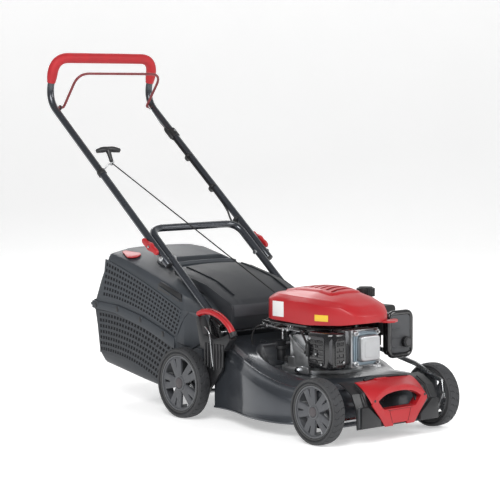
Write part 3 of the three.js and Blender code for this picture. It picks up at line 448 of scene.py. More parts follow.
def looks():
    m = {}
    m["deck"] = Look("deck_paint", (0.05, 0.056, 0.066), 0.3, 0.55, coat=0.6, coat_rough=0.12)
    m["deck"].mottle(9, 0.12, 0.04).grain(900, 0.012)
    m["tube"] = Look("tube_paint", (0.045, 0.05, 0.06), 0.26, 0.5, coat=0.7, coat_rough=0.1)
    m["tube"].mottle(14, 0.1, 0.03).grain(1200, 0.008)
    m["black"] = Look("black_plastic", (0.013, 0.0135, 0.015), 0.42)
    m["black"].mottle(20, 0.2, 0.06).grain(1500, 0.02)
    m["gloss_black"] = Look("black_enamel", (0.009, 0.009, 0.01), 0.2, 0.0, coat=0.5)
    m["gloss_black"].mottle(25, 0.2, 0.05).grain(700, 0.012)
    m["red"] = Look("red_plastic", (0.4, 0.009, 0.014), 0.42, coat=0.1, coat_rough=0.25)
    m["red"].mottle(12, 0.06, 0.04).grain(1300, 0.008)
    m["foam"] = Look("foam_grip", (0.42, 0.012, 0.018), 0.62)
    m["foam"].mottle(40, 0.1, 0.05).grain(2200, 0.07, 3)
    m["bail"] = Look("bail_coating", (0.17, 0.012, 0.016), 0.4, coat=0.3)
    m["bail"].mottle(30, 0.12, 0.05).grain(1500, 0.01)
    m["box"] = Look("box_plastic", (0.036, 0.042, 0.05), 0.52)
    m["box"].mottle(10, 0.1, 0.05).grain(1400, 0.035)
    m["box_dark"] = Look("box_plastic_dark", (0.028, 0.032, 0.038), 0.52)
    m["box_dark"].mottle(10, 0.1, 0.05).grain(1400, 0.035)
    m["panel"] = Look("guard_panel", (0.045, 0.045, 0.048), 0.4)
    m["panel"].mottle(20, 0.15, 0.05).grain(700, 0.02)
    m["blue_alloy"] = Look("valve_plate", (0.3, 0.37, 0.42), 0.34, 0.85)
    m["blue_alloy"].mottle(20, 0.15, 0.06).grain(600, 0.04, 3)
    m["bright"] = Look("bright_alloy", (0.5, 0.51, 0.52), 0.42, 0.85)
    m["bright"].mottle(20, 0.08, 0.06).grain(600, 0.05, 3)
    m["red_dark"] = Look("red_seam", (0.14, 0.004, 0.006), 0.5)
    m["red_dark"].mottle(20, 0.1)
    m["stipple"] = Look("stippled_band", (0.035, 0.038, 0.044), 0.6)
    m["stipple"].mottle(12, 0.12, 0.05).grain(260, 0.5, 3)
    # a near-black sheet for the floors of the box's holes: painted shade
    m["shade"] = Look("painted_shade_sheet", (0.004, 0.004, 0.005), 0.9)
    m["shade"].mottle(20, 0.1)
    m["white"] = Look("label_white", (0.75, 0.75, 0.74), 0.5)
    m["white"].mottle(30, 0.03)
    m["yellow"] = Look("label_yellow", (0.75, 0.5, 0.04), 0.5)
    m["yellow"].mottle(30, 0.04)
    m["flap"] = Look("flap_plastic", (0.014, 0.016, 0.02), 0.55)
    m["flap"].mottle(12, 0.12, 0.05).grain(1100, 0.05)
    m["grey"] = Look("grey_plastic", (0.055, 0.058, 0.063), 0.5)
    m["grey"].mottle(15, 0.1, 0.05).grain(1500, 0.02)
    m["tyre"] = Look("tyre_rubber", (0.03, 0.031, 0.034), 0.72)
    # the tyre's tread and sidewall ridges are painted lighter by edges(): a painted highlight
    m["tyre"].mottle(18, 0.25, 0.06).grain(1000, 0.04).edges((0.075, 0.075, 0.072))
    m["rim"] = Look("rim_plastic", (0.07, 0.073, 0.08), 0.42)
    # the rim's spoke ridges are painted lighter by edges(): a painted highlight
    m["rim"].mottle(16, 0.12, 0.05).grain(1400, 0.02).edges((0.15, 0.155, 0.16), 0.53, 0.68)
    m["alloy"] = Look("cast_alloy", (0.5, 0.51, 0.52), 0.38, 0.9)
    m["alloy"].mottle(22, 0.18, 0.1).grain(500, 0.09, 4)
    m["steel"] = Look("zinc_steel", (0.5, 0.51, 0.52), 0.3, 1.0)
    m["steel"].mottle(30, 0.15, 0.08).grain(900, 0.01, 3, (1, 6, 1))
    m["iron"] = Look("dull_iron", (0.12, 0.12, 0.125), 0.55, 0.8)
    m["iron"].mottle(25, 0.25, 0.1).grain(600, 0.06, 4)
    m["rope"] = Look("rope_braid", (0.012, 0.012, 0.013), 0.8)
    m["rope"].mottle(60, 0.2).grain(1800, 0.15, 3)
    m["cable"] = Look("cable_sheath", (0.01, 0.01, 0.011), 0.35)
    m["cable"].mottle(50, 0.2, 0.05).grain(900, 0.01)
    return {name: look.mat for name, look in m.items()}


MAT = looks()

# a finish is a material with the record slot it stands for
BLACK = MAT["black"], "black_plastic"
STEEL = MAT["steel"], "steel"
RED = MAT["red"], "red_plastic"
BOX = MAT["box"], "box_plastic"
ALLOY = MAT["alloy"], "cast_alloy"
ENAMEL = MAT["gloss_black"], "black_enamel"
BRIGHT = MAT["bright"], "cast_alloy"
RED_SEAM = MAT["red_dark"], "red_plastic"
FLAP = MAT["flap"], "black_plastic"
CABLE = MAT["cable"], "cable_sheath"
# black in the box plastic's slot, for the box's hand hole, notches and side groove: painted shade
BOX_PAINTED_SHADE = MAT["black"], "box_plastic"

SLOT_LOOKS = {
    "deck_paint": "deck", "black_plastic": "black", "red_plastic": "red", "grey_plastic": "grey",
    "box_plastic": "box", "foam_grip": "foam", "bail_coating": "bail", "tube_paint": "tube",
    "cast_alloy": "alloy", "black_enamel": "gloss_black", "iron": "iron", "steel": "steel",
    "rope": "rope", "cable_sheath": "cable", "tyre_rubber": "tyre", "rim_plastic": "rim",
}


def dress_cad_nodes():
    """Every CAD node gets its slot's material; some are replaced by finer pieces later."""
    for row in frame["record"]["subparts"]:
        node = frame["nodes"][row["node"]]
        node.data.materials.clear()
        node.data.materials.append(MAT[SLOT_LOOKS[row["material_slot"]]])


dress_cad_nodes()

# ---------------------------------------------------------------- camera and studio
VIEW = {
    "place": (-3420.1, -3522.9, 893.1), "yaw": 40.2157, "down": 4.591, "roll": -0.287,
    "lens": 132.93,
}


def add_camera():
    data = bpy.data.cameras.new("camera")
    data.sensor_width = 36
    data.lens = VIEW["lens"]
    data.clip_start, data.clip_end = 0.05, 60
    camera = bpy.data.objects.new("camera", data)
    yaw, down, roll = [math.radians(VIEW[k]) for k in ("yaw", "down", "roll")]
    ahead = Vector((math.sin(yaw) * math.cos(down), math.cos(yaw) * math.cos(down),
                    -math.sin(down)))
    right = Vector((math.cos(yaw), -math.sin(yaw), 0))
    up = right.cross(ahead)
    x = right * math.cos(roll) + up * math.sin(roll)
    y = up * math.cos(roll) - right * math.sin(roll)
    camera.matrix_world = Matrix((x, y, -ahead)).transposed().to_4x4()
    camera.location = place(VIEW["place"])
    bpy.context.scene.collection.objects.link(camera)
    bpy.context.scene.camera = camera


def add_light(name, where, target, size, power):
    data = bpy.data.lights.new(name, "AREA")
    data.shape = "RECTANGLE"
    data.size, data.size_y = size
    data.energy = power
    lamp = bpy.data.objects.new(name, data)
    lamp.location = where
    lamp.rotation_mode = "QUATERNION"
    lamp.rotation_quaternion = (Vector(target) - Vector(where)).to_track_quat("-Z", "Y")
    bpy.context.scene.collection.objects.link(lamp)


def add_studio():
    world = bpy.data.worlds.new("studio")
    world.use_nodes = True
    sky = world.node_tree.nodes["Background"]
    sky.inputs["Color"].default_value = (1, 1, 1, 1)
    sky.inputs["Strength"].default_value = 0.2
    bpy.context.scene.world = world
    # a white sweep: the floor runs back and curves up into a wall behind the mower
    back, bend, high, wide = 5.0, 2.0, 12.0, 22.0
    line = [(-14.0, 0.0), (back, 0.0)]
    line += [(back + bend * math.sin(t), bend - bend * math.cos(t))
             for t in np.linspace(0, math.pi / 2, 16)[1:]]
    line.append((back + bend, high))
    yaw = math.radians(VIEW["yaw"])
    ahead = Vector((math.sin(yaw), math.cos(yaw), 0))
    right = Vector((math.cos(yaw), -math.sin(yaw), 0))
    verts = [ahead * d + right * w + Vector((0, 0, z)) for d, z in line for w in (-wide, wide)]
    faces = [(2 * k, 2 * k + 1, 2 * k + 3, 2 * k + 2) for k in range(len(line) - 1)]
    mesh = bpy.data.meshes.new("floor")
    mesh.from_pydata(verts, [], faces)
    mesh.shade_smooth()
    floor = bpy.data.objects.new("floor", mesh)
    white = Look("pale_floor", (0.82, 0.82, 0.82), 0.9)
    white.mottle(2, 0.01)
    white.shader.inputs["Emission Color"].default_value = (1, 1, 1, 1)
    white.shader.inputs["Emission Strength"].default_value = 0.42
    mesh.materials.append(white.mat)
    bpy.context.scene.collection.objects.link(floor)
    add_light("key", (-3.2, -2.2, 3.4), (0, 0, 0.3), (2.6, 2.6), 190)
    add_light("front", (1.8, -3.6, 2.4), (0, -0.4, 0.3), (2.2, 2.2), 90)
    add_light("back", (1.6, 3.6, 3.2), (0, 0.2, 0.4), (2.6, 1.6), 70)
    view = bpy.context.scene.view_settings
    view.view_transform = "Standard"
    view.look = "None"
    view.exposure = 0.0


add_camera()
add_studio()

# ---------------------------------------------------------------- wheels
TREAD_CUTS = 30


def tyre_shape(r):
    """Tyre about its own axis, the outer side at +w: tread cuts are curved and lie both sides."""
    w = TYRE_W
    bead = 0.795 * r
    side = [(bead, w - 8), (bead + 0.8, w - 3.2), (0.84 * r, w - 2.2), (0.85 * r, w - 4.2),
            (0.885 * r, w - 4.4), (0.895 * r, w - 1.2), (0.915 * r, w - 0.2), (0.94 * r, w - 0.2),
            (0.958 * r, w - 1.6), (0.965 * r, w - 3.0), (0.985 * r, w - 4.2)]
    tread = []
    rows = 16
    for k in range(rows + 1):
        a = (w - 6) - (w - 12) * k / rows
        out = 1 - 0.012 * (2 * k / rows - 1) ** 2
        tread.append((out * r, a))
    other = [(q, w - a) for q, a in reversed(side)]
    profile = side + tread + other
    around = 360
    verts, faces = lathe(profile, around, "Z", closed=True)
    first = len(side)
    for row in range(first - 1, first + rows + 2):
        radius, a = profile[row]
        across = a / w - 0.5
        for k in range(around):
            turn = k / around * TREAD_CUTS
            depth = 0.0
            for half in (1, -1):
                if across * half < -0.02:
                    continue
                bend = 0.55 * math.sin(across * half * 5.6) * half
                phase = (turn + bend + (0.5 if half < 0 else 0)) % 1.0 - 0.5
                near = max(0.0, 1 - abs(phase) / 0.075)
                depth = max(depth, min(1.0, near * 1.8) * min(1, (abs(across) - 0.02) * 12))
            v = verts[row * around + k]
            scale = (radius - 2.2 * depth) / radius
            verts[row * around + k] = Vector((v[0] * scale, v[1] * scale, v[2]))
    return verts, faces


def arc(r, a0, a1, steps):
    return [Vector((r * math.cos(a0 + (a1 - a0) * k / steps), r * math.sin(a0 + (a1 - a0) * k / steps)))
            for k in range(steps + 1)]


def rim_shapes(r):
    """Spoke plate, barrel and hub of a wheel about its own axis, the outer side up."""
    w = TYRE_W
    outer = 0.79 * r
    pitch = 2 * math.pi / 5
    holes = []
    for k in range(5):
        spoke = math.pi / 2 + k * pitch
        a0, a1 = spoke + 0.36, spoke + pitch - 0.36
        mid = (a0 + a1) / 2
        rim_side = arc(0.70 * r, a0, a1, 5)
        foot = Vector((0.23 * r * math.cos(mid), 0.23 * r * math.sin(mid)))
        waist = []
        for edge, sign in ((a1, 1), (a0, -1)):
            q = mid + (edge - mid) * 0.62
            waist.append(Vector((0.42 * r * math.cos(q), 0.42 * r * math.sin(q))))
        ring = [*rim_side, waist[0], foot, waist[1]]
        holes.append(round_outline(ring, [3, 3, 3, 3, 3, 3, 14, 4, 14], 5))
        slot_shape = [*arc(0.695 * r, spoke - 0.05, spoke + 0.05, 2),
                      *[Vector((0.46 * r * math.cos(spoke + s), 0.46 * r * math.sin(spoke + s)))
                        for s in (0.02, -0.02)]]
        holes.append(round_outline(slot_shape, 1.2, 3))
    spokes = plate(circle(outer - 1, 96), holes, 9, 2.2, origin=(0, 0, w - 15))
    barrel = lathe([(outer, w - 4), (outer - 1.0, w - 3), (outer - 4.5, w - 3.4), (outer - 5.5, w - 6),
                    (0.715 * r, w - 13), (0.70 * r, 8), (0.74 * r, 4), (outer - 1, 3), (outer, 4.5)],
                   96, closed=True)
    ribs = []
    for k in range(10):
        t = math.pi / 2 + (k + 0.5) * pitch / 2
        turn = Matrix.Rotation(t, 4, "Z")
        ribs.append(moved(block((0.62 * r, -1.2, 9), (0.71 * r, 1.2, w - 14)), turn))
    hub = lathe([(0, 4), (9, 4), (13, 6), (14, w - 10), (0.21 * r, w - 9), (0.205 * r, w - 4.5),
                 (0.17 * r, w - 3.4), (0.155 * r, w - 4.6), (0, w - 4.6)], 48)
    cap = lathe([(0, w - 4.8), (0.145 * r, w - 4.8), (0.14 * r, w - 3.0), (0.09 * r, w - 2.0),
                 (0, w - 1.7)], 40)
    return shape_join(spokes, barrel, *ribs, hub), cap


def add_wheels():
    cap_look = Look("hub_cap", (0.07, 0.062, 0.066), 0.5)
    cap_look.mottle(30, 0.15, 0.05).grain(900, 0.02)
    rest = (("front_right", -1, 0, FRONT_R), ("front_left", 1, 0, FRONT_R),
            ("rear_right", -1, REAR_HUB, REAR_R), ("rear_left", 1, REAR_HUB, REAR_R))
    cached = {}
    for corner, side, y, r in rest:
        if r not in cached:
            cached[r] = (tyre_shape(r), *rim_shapes(r))
        inner = side * (TRACK_HALF - TYRE_W)
        basis = Matrix(((0, 0, side, inner), (0, 1, 0, y), (1, 0, 0, r), (0, 0, 0, 1)))
        tyre, rim, cap = [moved(s, basis) for s in cached[r]]
        body = f"wheel_{corner}"
        make(f"tyre_{corner}_fine", tyre, body, MAT["tyre"], "tyre_rubber", f"tyre_{corner}", sharp=32)
        make(f"rim_{corner}_fine", rim, body, MAT["rim"], "rim_plastic", f"rim_{corner}", sharp=40)
        make(f"hub_cap_{corner}", cap, body, cap_look.mat, "rim_plastic")


add_wheels()

# ---------------------------------------------------------------- deck
CUT_Y = 215  # crankshaft line
DECK_LOW = node_box("deck")[0].z
DECK_REAR = node_box("deck")[1].y
PLATFORM_Z = node_box("engine_block")[0].z - 0.3
DECK_HALF = [
    (60, -8), (130, -6), (172, 2), (184, 30), (185, 92), (203, 122), (217, 160), (222, 205),
    (219, 255), (209, 305), (193, 355), (180, 405), (177, 440), (177, DECK_REAR),
]


def shoulder(y):
    """Height of the deck's edge, rising to the rear."""
    return min(max(141 + 0.267 * (y - 100), 146), 236)


def deck_outline():
    half = spline([(x, y, 0) for x, y in DECK_HALF[:4]], 5)[:-1]
    half += spline([(x, y, 0) for x, y in DECK_HALF[3:]], 7)
    return half + [Vector((-p.x, p.y, 0)) for p in reversed(half)]


def deck_rings(wall):
    """Rings from the skirt's edge up over the shoulder and down into the engine's round well."""
    outline = deck_outline()
    middle = Vector((0, CUT_Y, 0))
    s = 1 - wall / 190

    def scaled(scale, height):
        ring = [middle + (p - middle) * scale * s for p in outline]
        return [Vector((p.x, p.y, height(p.y) - wall)) for p in ring]

    def round_ring(r, height):
        ring = []
        for p in outline:
            d = (p - middle).normalized()
            q = middle + d * (r + wall)
            ring.append(Vector((q.x, q.y, height(q.y) - wall)))
        return ring

    low = DECK_LOW
    bulge = [
        scaled(1.0, lambda y: low + 7 + wall), scaled(1.0, lambda y: 70),
        scaled(1.0, lambda y: shoulder(y) - 48), scaled(0.996, lambda y: shoulder(y) - 44),
        scaled(0.988, lambda y: shoulder(y) - 40), scaled(0.982, lambda y: shoulder(y) - 20),
        scaled(0.981, lambda y: shoulder(y) - 13), scaled(0.977, lambda y: shoulder(y) - 9.5),
        scaled(0.965, lambda y: shoulder(y) - 9), scaled(0.957, lambda y: shoulder(y) - 8),
        scaled(0.93, lambda y: shoulder(y) - 2), scaled(0.89, lambda y: shoulder(y) + 4),
    ]
    level = [
        round_ring(187, lambda y: max(shoulder(y) + 6, 155.5)),
        round_ring(185, lambda y: max(shoulder(y) + 7.6, 156)),
        round_ring(180, lambda y: max(shoulder(y) + 8.6, 156)),
        round_ring(171, lambda y: max(shoulder(y) + 7.6, 156)),
        round_ring(166, lambda y: max(shoulder(y) + 2, PLATFORM_Z)),
        round_ring(157, lambda y: max(shoulder(y) - 22, PLATFORM_Z)),
        round_ring(151, lambda y: PLATFORM_Z + (2 if shoulder(y) > PLATFORM_Z else 0)),
        round_ring(144, lambda y: PLATFORM_Z), round_ring(100, lambda y: PLATFORM_Z),
        round_ring(24, lambda y: PLATFORM_Z),
    ]
    if not wall:
        lip = [scaled(0.994, lambda y: low), scaled(1.004, lambda y: low),
               scaled(1.009, lambda y: low + 1.5), scaled(1.009, lambda y: low + 4.5),
               scaled(1.002, lambda y: low + 6)]
        return lip + bulge + level
    return bulge + level


def add_deck():
    outer, inner = deck_rings(0), deck_rings(3)
    rings = outer + inner[::-1]
    deck = make("deck_fine", loft(rings + [rings[0]], caps=False), "chassis", MAT["deck"],
                "deck_paint", "deck", sharp=60)
    carve(deck, block((-120, DECK_REAR - 20, 112), (120, DECK_REAR + 10, 214)))
    deck.data.shade_smooth()
    deck.data.set_sharp_from_angle(angle=math.radians(40))


add_deck()

# ---------------------------------------------------------------- handle
LEG_ANGLE = math.radians(38.3)
FOLD = Vector((0, *[(a + b) / 2 for a, b in zip(*[list(c)[1:] for c in node_box("fold_bolt_right")])]))
LEG_DIR = Vector((0, math.cos(LEG_ANGLE), math.sin(LEG_ANGLE)))
LEG_UP = Vector((0, -math.sin(LEG_ANGLE), math.cos(LEG_ANGLE)))
HANDLE_X = 190
LOWER_X = 165.8
TUBE_R = 11
LEG_TOP = 738
GRIP_BACK = 52
GRIP_RISE = 124
BAIL_S = 695
BAIL_X_ARM = 160
CLAMP_S = 54


def leg(x, s, rise=0.0):
    """A point beside the legs: s along them from the fold bolts, and rise above their line."""
    p = FOLD + LEG_DIR * s + LEG_UP * rise
    return Vector((x, p.y, p.z))


def handle_path(start, bend=52):
    """The upper handle's centre line, from leg to leg."""
    side = [leg(-HANDLE_X, start), leg(-HANDLE_X, LEG_TOP),
            leg(-HANDLE_X, LEG_TOP + GRIP_BACK, GRIP_RISE)]
    return side + [Vector((-p.x, p.y, p.z)) for p in reversed(side)]


def add_handle():
    tube = refined(rounded(handle_path(-30), 52, 12), 60)
    make("handle_tube", sweep(tube, TUBE_R, 36), "handle_upper", MAT["tube"], "tube_paint",
         "handle_upper", bevel=1.0)
    bow = [leg(-LOWER_X, -290), leg(-LOWER_X, 130), leg(LOWER_X, 130), leg(LOWER_X, -290)]
    make("handle_bow", sweep(refined(rounded(bow, 44, 12), 60), TUBE_R, 36), "chassis",
         MAT["tube"], "tube_paint", "handle_lower", bevel=1.0)
    grip = handle_path(-30)[1:5]
    corner, top = grip[0], grip[1]
    start = corner.lerp(top, 0.45)
    path = rounded([start, top, grip[2], grip[3].lerp(grip[2], 0.45)], 52, 14)
    path = refined(path, 14)
    radius = [16.0] * len(path)
    for k, r in enumerate((13.4, 15.2)):
        radius[k] = radius[-1 - k] = r
    make("grip_foam", sweep(path, radius, 40), "handle_upper", MAT["foam"], "foam_grip",
         "grip_sleeve", sharp=50)
    for end in (0, -1):
        a, b = path[end], path[1 if end == 0 else -2]
        ring = sweep([a - (b - a).normalized() * 5, a + (b - a).normalized() * 2], 13.2, 32)
        make(f"grip_collar_{'right' if end == 0 else 'left'}", ring, "handle_upper", MAT["foam"],
             "foam_grip", bevel=1.0)
    for side in (-1, 1):
        tag = "right" if side < 0 else "left"
        foot = Vector((side * HANDLE_X, *leg(0, -30).yz))
        make(f"tube_plug_{tag}", sweep([foot - LEG_DIR * 2.5, foot - LEG_DIR * 1.5, foot + LEG_DIR * 2],
                                       [8, 10.4, 10.4], 32), "handle_upper", *BLACK)


def add_bail():
    b = 160
    half = [leg(-HANDLE_X + 4, BAIL_S, 4), leg(-b, BAIL_S, 4), leg(-b, BAIL_S, 136)]
    path = half + [Vector((-p.x, p.y, p.z)) for p in reversed(half)]
    path = refined(rounded(path, [9, 42, 42, 9], 10), 20)
    make("bail_wire", sweep(path, 4.0, 24), "bail", MAT["bail"], "bail_coating", "bail", bevel=0.8)
    for side in (-1, 1):
        tag = "right" if side < 0 else "left"
        cup = lathe([(4.4, 0), (7.5, 0), (8, 1), (8, 3.4), (6.5, 4.6), (4.4, 4.6)], 28, "X",
                    closed=True)
        spot = leg(side * (HANDLE_X - TUBE_R - 4.4), BAIL_S, 4)
        make(f"bail_bush_{tag}", moved(cup, Matrix.Translation(spot)), "handle_upper", *BLACK)


def add_wing_nut(side):
    """An S-shaped wing nut on its bolt, with rounded edges round each wing."""
    tag = "right" if side < 0 else "left"
    x0 = side * (HANDLE_X + TUBE_R + 0.6)
    centre = leg(0, CLAMP_S)
    angle = math.atan2(-9, 34) + LEG_ANGLE
    along, up = math.cos(angle), math.sin(angle)
    half = [(0, 12), (10, 11), (22, 8.5), (32, 11), (38.5, 8.5), (40, 2), (36, -4.5), (27, -7.5),
            (15, -8), (6, -11.5)]
    outline = [Vector(p) for p in half] + [Vector((-x, -y)) for x, y in half]
    outline = round_outline(outline, 4, 4)
    basis = (Vector((0, along, up)), Vector((0, -up, along)), Vector((side, 0, 0)))
    if side < 0:
        outline = [Vector((p.x, p.y)) for p in outline]
    wings = plate(outline, [], 10, 2.6, basis, (x0 + side * 1.2, centre.y, centre.z))
    hub = lathe([(4.6, 0), (11.2, 0), (12, 1), (12, 10), (10.6, 12), (4.6, 12)], 40, "X",
                closed=True)
    if side < 0:
        hub = mirrored(hub)
    hub = moved(hub, Matrix.Translation((x0, centre.y, centre.z)))
    body = f"wing_nut_{tag}"
    make(f"wing_nut_{tag}_fine", shape_join(wings, hub), body, *RED, f"wing_nut_{tag}", sharp=40)
    tip = rod((x0 + side * 2, centre.y, centre.z), (x0 + side * 14.5, centre.y, centre.z), 3.9, 24,
              0.8)
    make(f"clamp_bolt_{tag}", tip, "handle_upper", *STEEL)
    x1 = side * (HANDLE_X + TUBE_R)
    y, z = FOLD.y, FOLD.z
    head = lathe([(0, 0), (7.6, 0), (7.6, 1.4), (6.8, 2.8), (4.4, 4), (0, 4.4)], 32, "X")
    head = moved(mirrored(head) if side < 0 else head, Matrix.Translation((x1, y, z)))
    inner = side * (LOWER_X - TUBE_R)
    nut = sweep([(inner, y, z), (inner - side * 5, y, z)], 7, 6)
    shank = rod((inner + side, y, z), (x1 + side * 0.5, y, z), 4, 16)
    make(f"fold_bolt_{tag}_fine", shape_join(head, nut, shank), "chassis", *STEEL,
         f"fold_bolt_{tag}", sharp=30)


def add_starter():
    """T-shaped pull handle, its rope, and the eye that guides it on the right leg."""
    eye = Vector((-165, 964, 712))
    pull = Vector((0, 0.45, 0.893)).normalized()
    rope_in = Vector((-48, 350, 357))
    bar = [eye + pull * (46 + 5.5 * math.cos(t * math.pi / 2) - 5) + Vector((t * 42, 0, 0))
           for t in np.linspace(-1, 1, 25)]
    radius = [9.2 - 1.7 * math.cos(t * math.pi) ** 2 + 0.6 * math.cos(t * math.pi)
              for t in np.linspace(-1, 1, 25)]
    radius[0] = radius[-1] = 6.5
    stem = sweep([eye + pull * s for s in (4, 7, 16, 30, 42)], [4.6, 6.2, 6.0, 6.6, 9], 28)
    make("starter_handle_fine", shape_join(sweep(bar, radius, 28), stem), "starter_handle",
         *BLACK, "starter_handle", sharp=45, bevel=1.2)
    stub = sweep([eye + pull * s for s in np.linspace(-1, 10, 24)], 1.9, 12)
    piece = make("starter_rope_pull", stub, None, MAT["rope"], "rope")
    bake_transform(piece)
    line = sweep([rope_in.lerp(eye, k / 60) for k in range(61)], 1.9, 12)
    rope = make("starter_rope_fine", line, None, MAT["rope"], "rope", "starter_rope")
    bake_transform(rope)
    ring = []
    for k in range(33):
        t = math.radians(40 + 400 * k / 32)
        side = Vector((1, 0, 0)) * math.cos(t) * 6.2 + pull.cross(Vector((1, 0, 0))) * math.sin(t) * 6.2
        ring.append(eye + side + pull * (k - 16) * 0.22)
    tail = leg(-HANDLE_X + 2, 385, TUBE_R + 2)
    wire = spline([*ring[-3:], eye.lerp(tail, 0.55) + Vector((0, -3, 5)), tail], 5)
    guide = shape_join(sweep(ring, 1.9, 12), sweep(wire, 1.9, 12))
    make("rope_eye", guide, "handle_upper", *STEEL, "rope_guide")
    clip = sweep([leg(-HANDLE_X, 376), leg(-HANDLE_X, 377), leg(-HANDLE_X, 393), leg(-HANDLE_X, 394)],
                 [12, 13.4, 13.4, 12], 36)
    spot = leg(-HANDLE_X, 385, TUBE_R + 3)
    lug = sweep([leg(-HANDLE_X, 385, 8), spot], 5.5, 6)
    make("rope_guide_clip", shape_join(clip, lug), "handle_upper", *BLACK, bevel=0.6)


def add_brake_cable():
    """Cable from the bail's housing on the left leg down to the lever plate on the engine."""
    x = HANDLE_X - TUBE_R - 3.3
    upper = [leg(x, 545), leg(x, 400), leg(x, 260), leg(x, 200, -4), leg(x, 160, -17),
             leg(x, 100, -19), leg(x, 40, -19), leg(x, 1, -19)]
    lower = [leg(x, -1, -19), leg(x, -60, -19), leg(170, -110, -20), leg(158, -160, -20),
             leg(149.4, -200, -8), leg(149.2, -235, 10), (149.2, 455, 320), (148, 424, 328),
             (128, 396, 318), (80, 391, 306), (20, 391, 296), (-40, 388, 286), (-74, 380, 278),
             (-84, 366, 274)]
    path = spline(upper[:-1] + lower[1:], 9)
    piece = make("brake_cable", sweep(refined(path, 12), 3.0, 14), None, *CABLE,
                 ("brake_cable_upper", "brake_cable_lower"))
    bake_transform(piece)
    housing = shape_join(
        sweep([leg(HANDLE_X, s) for s in (545, 547, 577, 579)], [12.5, 14.6, 14.6, 12.5], 32),
        sweep([leg(x - 2, s) for s in (538, 545, 579, 590)], [4, 7, 7, 4.5], 24))
    make("cable_housing", housing, "handle_upper", *BLACK, "cable_bracket")
    screw = leg(HANDLE_X, 562, 14.5)
    make("cable_housing_screw", rod(screw - LEG_UP, screw + LEG_UP * 2.2, 4.2, 24, 0.8),
         "handle_upper", *STEEL)
    wire = [leg(x - 2, 588), leg(x - 4, 630), leg(BAIL_X_ARM, BAIL_S - 8, 14)]
    make("bail_wire_pull", sweep(spline(wire, 8), 1.1, 10), "handle_upper", *STEEL)
    for s in (150, 300, 450):
        y_off = -8 if s > 200 else -12
        clip = sweep([leg(HANDLE_X - 5, s - 4, y_off / 3), leg(HANDLE_X - 5, s + 4, y_off / 3)],
                     [14.8, 14.8], 28)
        make(f"cable_clip_{s}", clip, "handle_upper", *BLACK, bevel=1.0)


add_handle()
add_bail()
for hand in (-1, 1):
    add_wing_nut(hand)
add_starter()
add_brake_cable()

# ---------------------------------------------------------------- engine cowl
COWL_MID = 200
COWL_PLAN = [
    (0, 8), (30, 9.5), (47, 14), (63, 24), (78, 48), (95, 84), (108.6, 130), (112, 180),
    (112, 240), (112, 300), (99, 325), (78, 348), (54, 366), (34, 376), (0, 380),
]
COWL_LOW = [(8, 303), (54, 297), (165, 292), (310, 297), (380, 303)]
COWL_CREASE = [(8, 322), (24, 326), (54, 342), (165, 351), (293, 353), (380, 350)]
COWL_SHOULDER = [(8, 336), (40, 346), (90, 357), (165, 363), (293, 367), (380, 362)]
COWL_TOP = [(8, 352), (41, 369), (69, 377), (106, 381), (168, 386), (225, 385), (278, 381),
            (332, 375), (368, 366)]
SHOULDER_SHARE = 0.855
PAD = {"half": 60, "front": 108, "rear": 316, "round": 26, "rise": 4.0, "slope": 5.0}


def along(table, at):
    """A value read off a table of (place, value)."""
    return float(np.interp(at, [row[0] for row in table], [row[1] for row in table]))


def ring_of(half):
    """A closed ring from its half, mirrored across x = 0."""
    return half + [Vector((-p.x, p.y, p.z)) for p in reversed(half[1:-1])]


def cowl_ring(share, height):
    half = []
    for x, y in COWL_HALF_PLAN:
        at = COWL_MID + (y - COWL_MID) * share
        half.append(Vector((x * share, at, height(at))))
    return ring_of(half)


COWL_HALF_PLAN = [(max(0, p.x), p.y) for p in spline([Vector((x, y, 0)) for x, y in COWL_PLAN], 5)]


def dome(share):
    fall = min(1.0, share / SHOULDER_SHARE) ** 2.2
    return lambda y: along(COWL_TOP, y) - (along(COWL_TOP, y) - along(COWL_SHOULDER, y)) * fall


def cowl_share(x, y):
    """How far out from the middle a point of the plan is, 1 at the outline."""
    xs = [p[0] for p in COWL_HALF_PLAN]
    ys = [p[1] for p in COWL_HALF_PLAN]
    low, high = 0.02, 1.2
    for _ in range(18):
        share = (low + high) / 2
        at = COWL_MID + (y - COWL_MID) / share
        inside = ys[0] < at < ys[-1] and abs(x) / share < np.interp(at, ys, xs)
        low, high = (low, share) if inside else (share, high)
    return high


def sheet(top, drop):
    """A closed sheet: a grid of top points, and the same grid lower by drop."""
    rows, cols = len(top), len(top[0])
    verts = [p for row in top for p in row] + [p - Vector((0, 0, drop)) for row in top for p in row]
    under = rows * cols
    faces = []
    for i in range(rows - 1):
        for j in range(cols - 1):
            a = i * cols + j
            faces.append((a, a + 1, a + cols + 1, a + cols))
            faces.append((under + a, under + a + cols, under + a + cols + 1, under + a + 1))
    rim = [j for j in range(cols)] + [i * cols + cols - 1 for i in range(1, rows)]
    rim += [(rows - 1) * cols + j for j in range(cols - 2, -1, -1)]
    rim += [i * cols for i in range(rows - 2, 0, -1)]
    for k, a in enumerate(rim):
        b = rim[(k + 1) % len(rim)]
        faces.append((a, under + a, under + b, b))
    return verts, faces


def pad_lift(x, y):
    middle = (PAD["front"] + PAD["rear"]) / 2
    out_x = abs(x) - (PAD["half"] - PAD["round"])
    out_y = abs(y - middle) - ((PAD["rear"] - PAD["front"]) / 2 - PAD["round"])
    away = math.hypot(max(out_x, 0), max(out_y, 0)) + min(max(out_x, out_y), 0) - PAD["round"]
    t = min(1.0, max(0.0, -away / PAD["slope"]))
    return PAD["rise"] * t * t * (3 - 2 * t) - (1.2 if away > 0 else 0)


